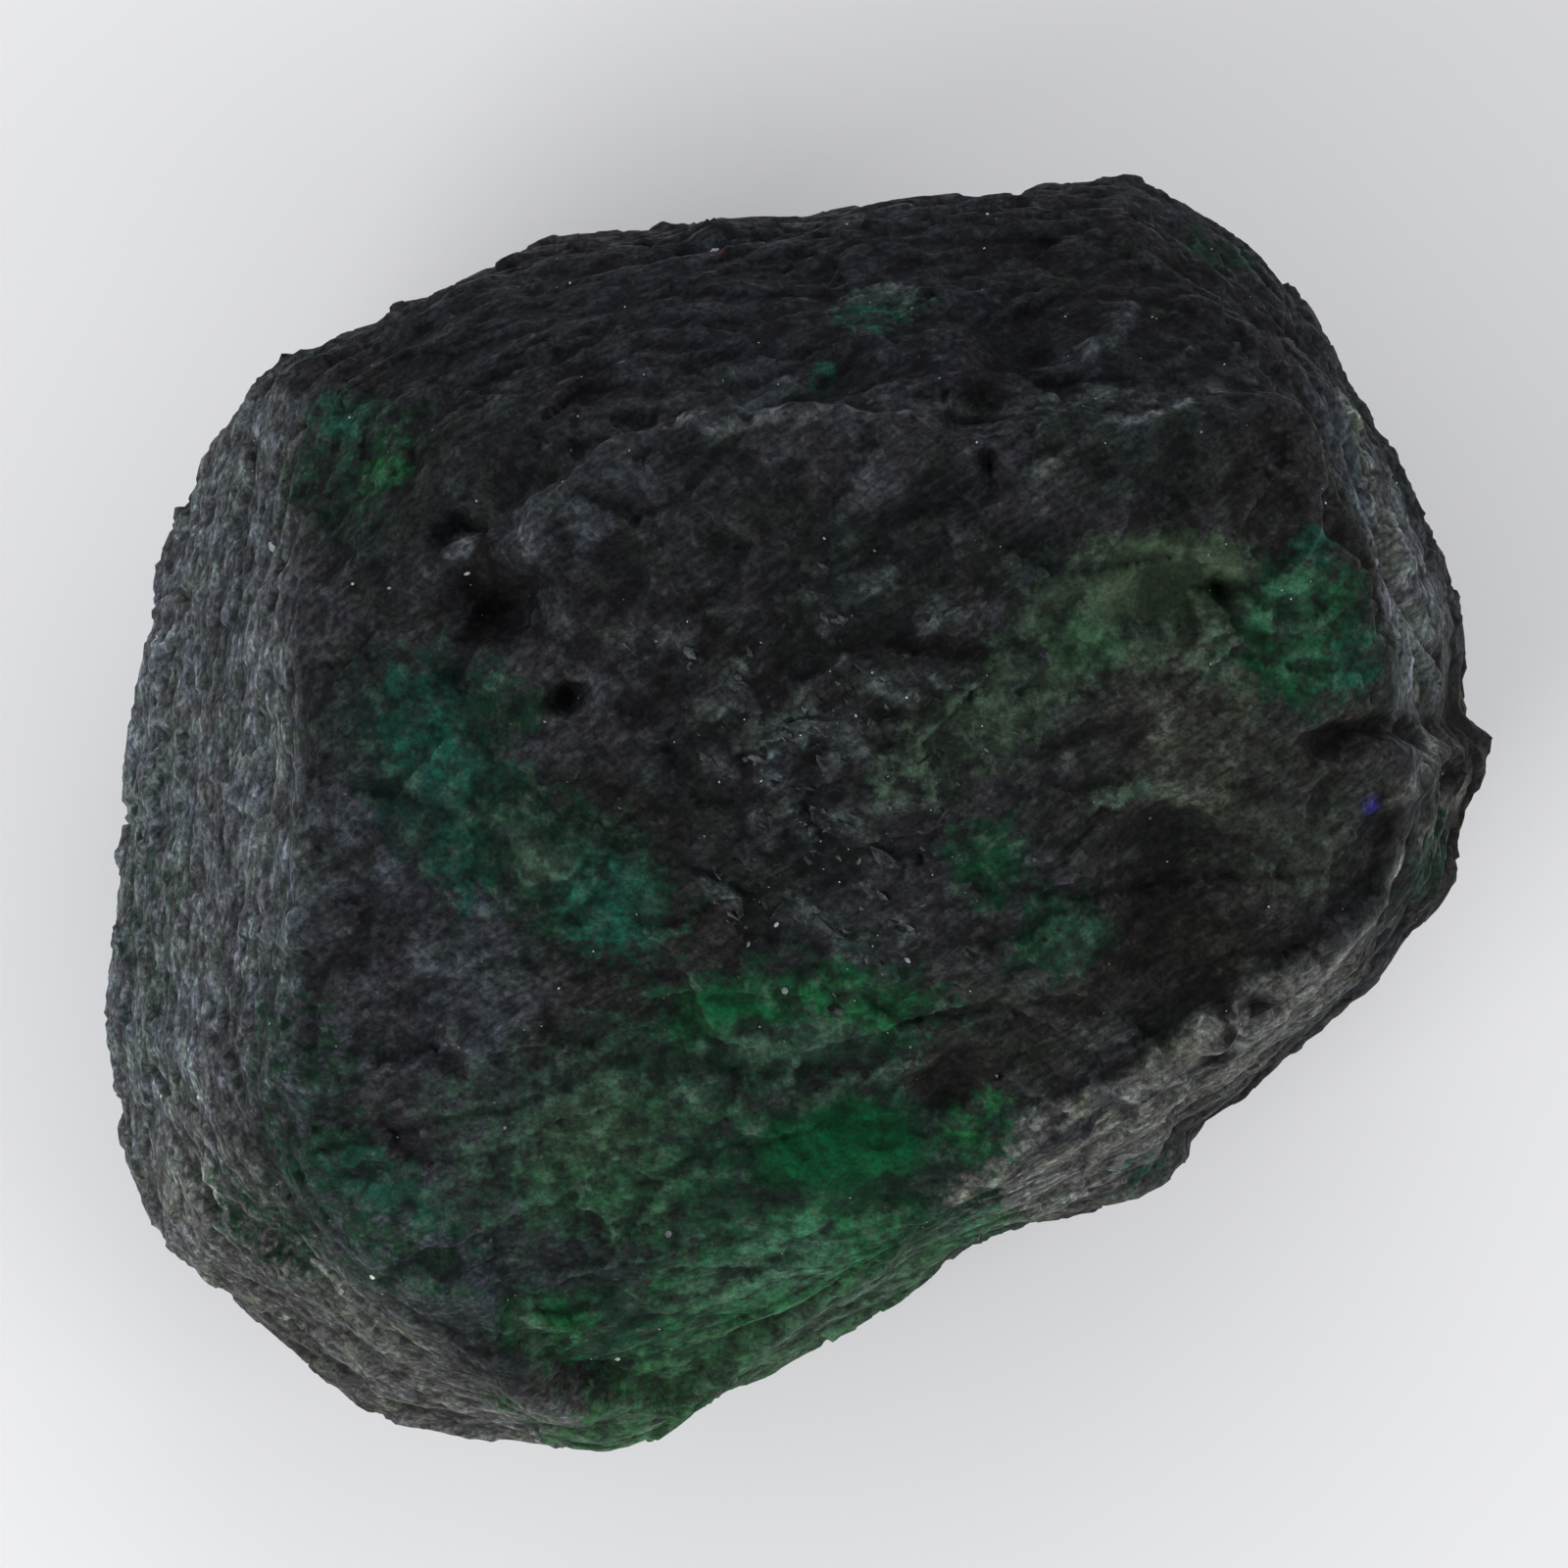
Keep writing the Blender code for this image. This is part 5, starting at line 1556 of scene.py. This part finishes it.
def plate_on(body, place, outward, radius, tilt):
    """One six-sided plate set into the surface, turned a little out of it."""
    lean = Vector((random.uniform(-tilt, tilt), random.uniform(-tilt, tilt), random.uniform(-tilt, tilt)))
    facing = (outward + lean).normalized()
    turn = facing.to_track_quat("Z", "Y").to_matrix().to_4x4() @ Matrix.Rotation(random.uniform(0, 3), 4, "Z")
    stretch = Matrix.Diagonal((random.uniform(*FLAKE_LENGTH), random.uniform(*FLAKE_WIDTH), 1, 1))
    bmesh.ops.create_cone(
        body,
        cap_ends=True,
        segments=6,
        radius1=radius,
        radius2=radius * FLAKE_TAPER,
        depth=FLAKE_THICKNESS,
        matrix=Matrix.Translation(place) @ turn @ stretch,
    )


random.seed(11)
flakes = bmesh.new()
for east, north, radius in GLINTS:
    place, outward = straight_down(east, north)
    if place is not None:
        facing = outward.lerp(Vector((0, 0, 1)), FACING_UP)
        plate_on(flakes, place, facing, GLINT_SIZE * radius * MM, GLINT_TILT)
for _ in range(BLADE_GLINTS):
    place, outward = straight_down(*bladed_place())
    plate_on(flakes, place, outward, random.uniform(*BLADE_GLINT_RADIUS) * MM, BLADE_GLINT_TILT)
print("bright plates:", len(flakes.faces) // FLAKE_FACES)

# %% [markdown]
# The whole stone glitters faintly, because mica is everywhere in schist. So more, smaller plates are
# strewn over it: each is set on a face drawn at random, which spreads them evenly over all the sides.

# %% Loose flakes all over the stone
LOOSE_FLAKES = 520
LOOSE_RADIUS = (0.02, 0.055)
LOOSE_TILT = 0.45
LOWEST_FLAKE = 0.6 * MM

faces = stone_mesh.polygons
for _ in range(LOOSE_FLAKES):
    face = faces[random.randrange(len(faces))]
    if face.center.z > LOWEST_FLAKE:
        plate_on(flakes, face.center, face.normal, random.uniform(*LOOSE_RADIUS) * MM, LOOSE_TILT)
mica_flakes = finished_piece("mica_flakes", flakes)
print("all plates:", len(mica_flakes.data.polygons) // FLAKE_FACES)

# %% [markdown]
# Mica is a smooth grey plate with a pearly gloss, some of it paler, and the paler plates are partly painted
# glints. A clear coat gives the gloss, and a little of the grain keeps a plate from looking like paper.

# %% Material of the flakes
MICA_DARK = (0.05, 0.056, 0.062, 1)
MICA_PALE_AND_GLINT = (0.36, 0.38, 0.38, 1)
MICA_FINENESS = 3.0
MICA_SHADES = (0.6, 1.0)
PALE_MICA = (0.38, 0.60)
MICA_SPECKLE = (0.3, 0.7, 0.7, 1.1)


def mica_material():
    """Grey, pearly plates of mica."""
    material, tree, surface, places = new_material("mica")
    grain = grain_in(tree, places, MICA_FINENESS)
    shade = noise_pattern(tree, places, *MICA_SHADES)
    # The paler plates are partly painted glints
    tone = blend(tree, between(tree, shade, *PALE_MICA), MICA_DARK, MICA_PALE_AND_GLINT)
    feed(tree, toned(tree, tone, grain["Speckle"], MICA_SPECKLE), surface.inputs["Base Color"])
    surface.inputs["Roughness"].default_value = 0.22
    surface.inputs["Coat Weight"].default_value = 0.4
    return material


mica_flakes.data.materials.append(mica_material())
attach(mica_flakes, "root")
print("pieces of the stone:", [piece.name for piece in (stone, crystal_blades, mica_flakes)])

# %% [markdown]
# The stone is shown on a plain pale floor, a sheet of paper that is much larger than the view. A faint slow
# noise keeps its tone from being perfectly even.

# %% Floor
FLOOR_SIZE = 4.0
PAPER = (0.88, 0.88, 0.89, 1)
PALER_PAPER = (0.92, 0.915, 0.915, 1)
PAPER_NOISE = (0.02, 2.0)


def floor_material():
    """Plain pale paper."""
    material, tree, surface, places = new_material("pale_floor")
    tone = blend(tree, noise_pattern(tree, places, *PAPER_NOISE), PAPER, PALER_PAPER)
    feed(tree, tone, surface.inputs["Base Color"])
    surface.inputs["Roughness"].default_value = 0.9
    surface.inputs["Specular IOR Level"].default_value = 0.1
    return material


floor_sheet = bmesh.new()
bmesh.ops.create_grid(floor_sheet, x_segments=1, y_segments=1, size=FLOOR_SIZE / 2)
floor = in_scene("floor", as_mesh(floor_sheet, "floor"))
floor.data.materials.append(floor_material())
print("floor, in metres:", FLOOR_SIZE)

# %% [markdown]
# A dark rock shows its shape mostly by what it reflects. So soft light comes low from the south-west, the
# east and the north, like windows around a table. Each light is a square, aimed at the stone's middle.

# %% Light
AIM_HEIGHT = 0.015
# Each light has its place and its width in metres, and its power in watts
SOFT_LIGHTS = {
    "south_west_window": ((-0.34, -0.30, 0.22), 0.30, 1.35),
    "east_window": ((0.46, -0.16, 0.20), 0.26, 0.5),
    "north_window": ((0.10, 0.50, 0.26), 0.40, 0.5),
}

for name, (place, width, power) in SOFT_LIGHTS.items():
    light = bpy.data.lights.new(name, "AREA")
    light.size = width
    light.energy = power
    lamp = in_scene(name, light)
    lamp.location = place
    aim = Vector(place) - Vector((0, 0, AIM_HEIGHT))
    lamp.rotation_euler = aim.to_track_quat("Z", "Y").to_euler()
    lamp.visible_camera = False
print("lights:", len(SOFT_LIGHTS))

# %% [markdown]
# The rest of the light comes from the surroundings: bright near the horizon, which the steep sides mirror,
# and nearly black overhead, which keeps the crown dark. The camera itself sees an even grey instead.

# %% Surroundings
HORIZON = (1.72, 1.73, 1.77, 1)
OVERHEAD = (0.07, 0.075, 0.09, 1)
BACKDROP = (0.68, 0.68, 0.68, 1)
DARK_OVERHEAD = (0.42, 0.80)

world = bpy.data.worlds.new("room")
world.use_nodes = True
scene.world = world
room = world.node_tree
towards = room.nodes.new("ShaderNodeTexCoord").outputs["Generated"]
upward = add_node(room, "ShaderNodeSeparateXYZ", Vector=towards)
room_light = blend(room, between(room, upward.outputs["Z"], *DARK_OVERHEAD), HORIZON, OVERHEAD)
seen = room.nodes.new("ShaderNodeLightPath").outputs["Is Camera Ray"]
feed(room, blend(room, seen, room_light, BACKDROP), room.nodes["Background"].inputs["Color"])
scene.view_settings.view_transform = "Standard"
print("nodes in the surroundings:", len(room.nodes))
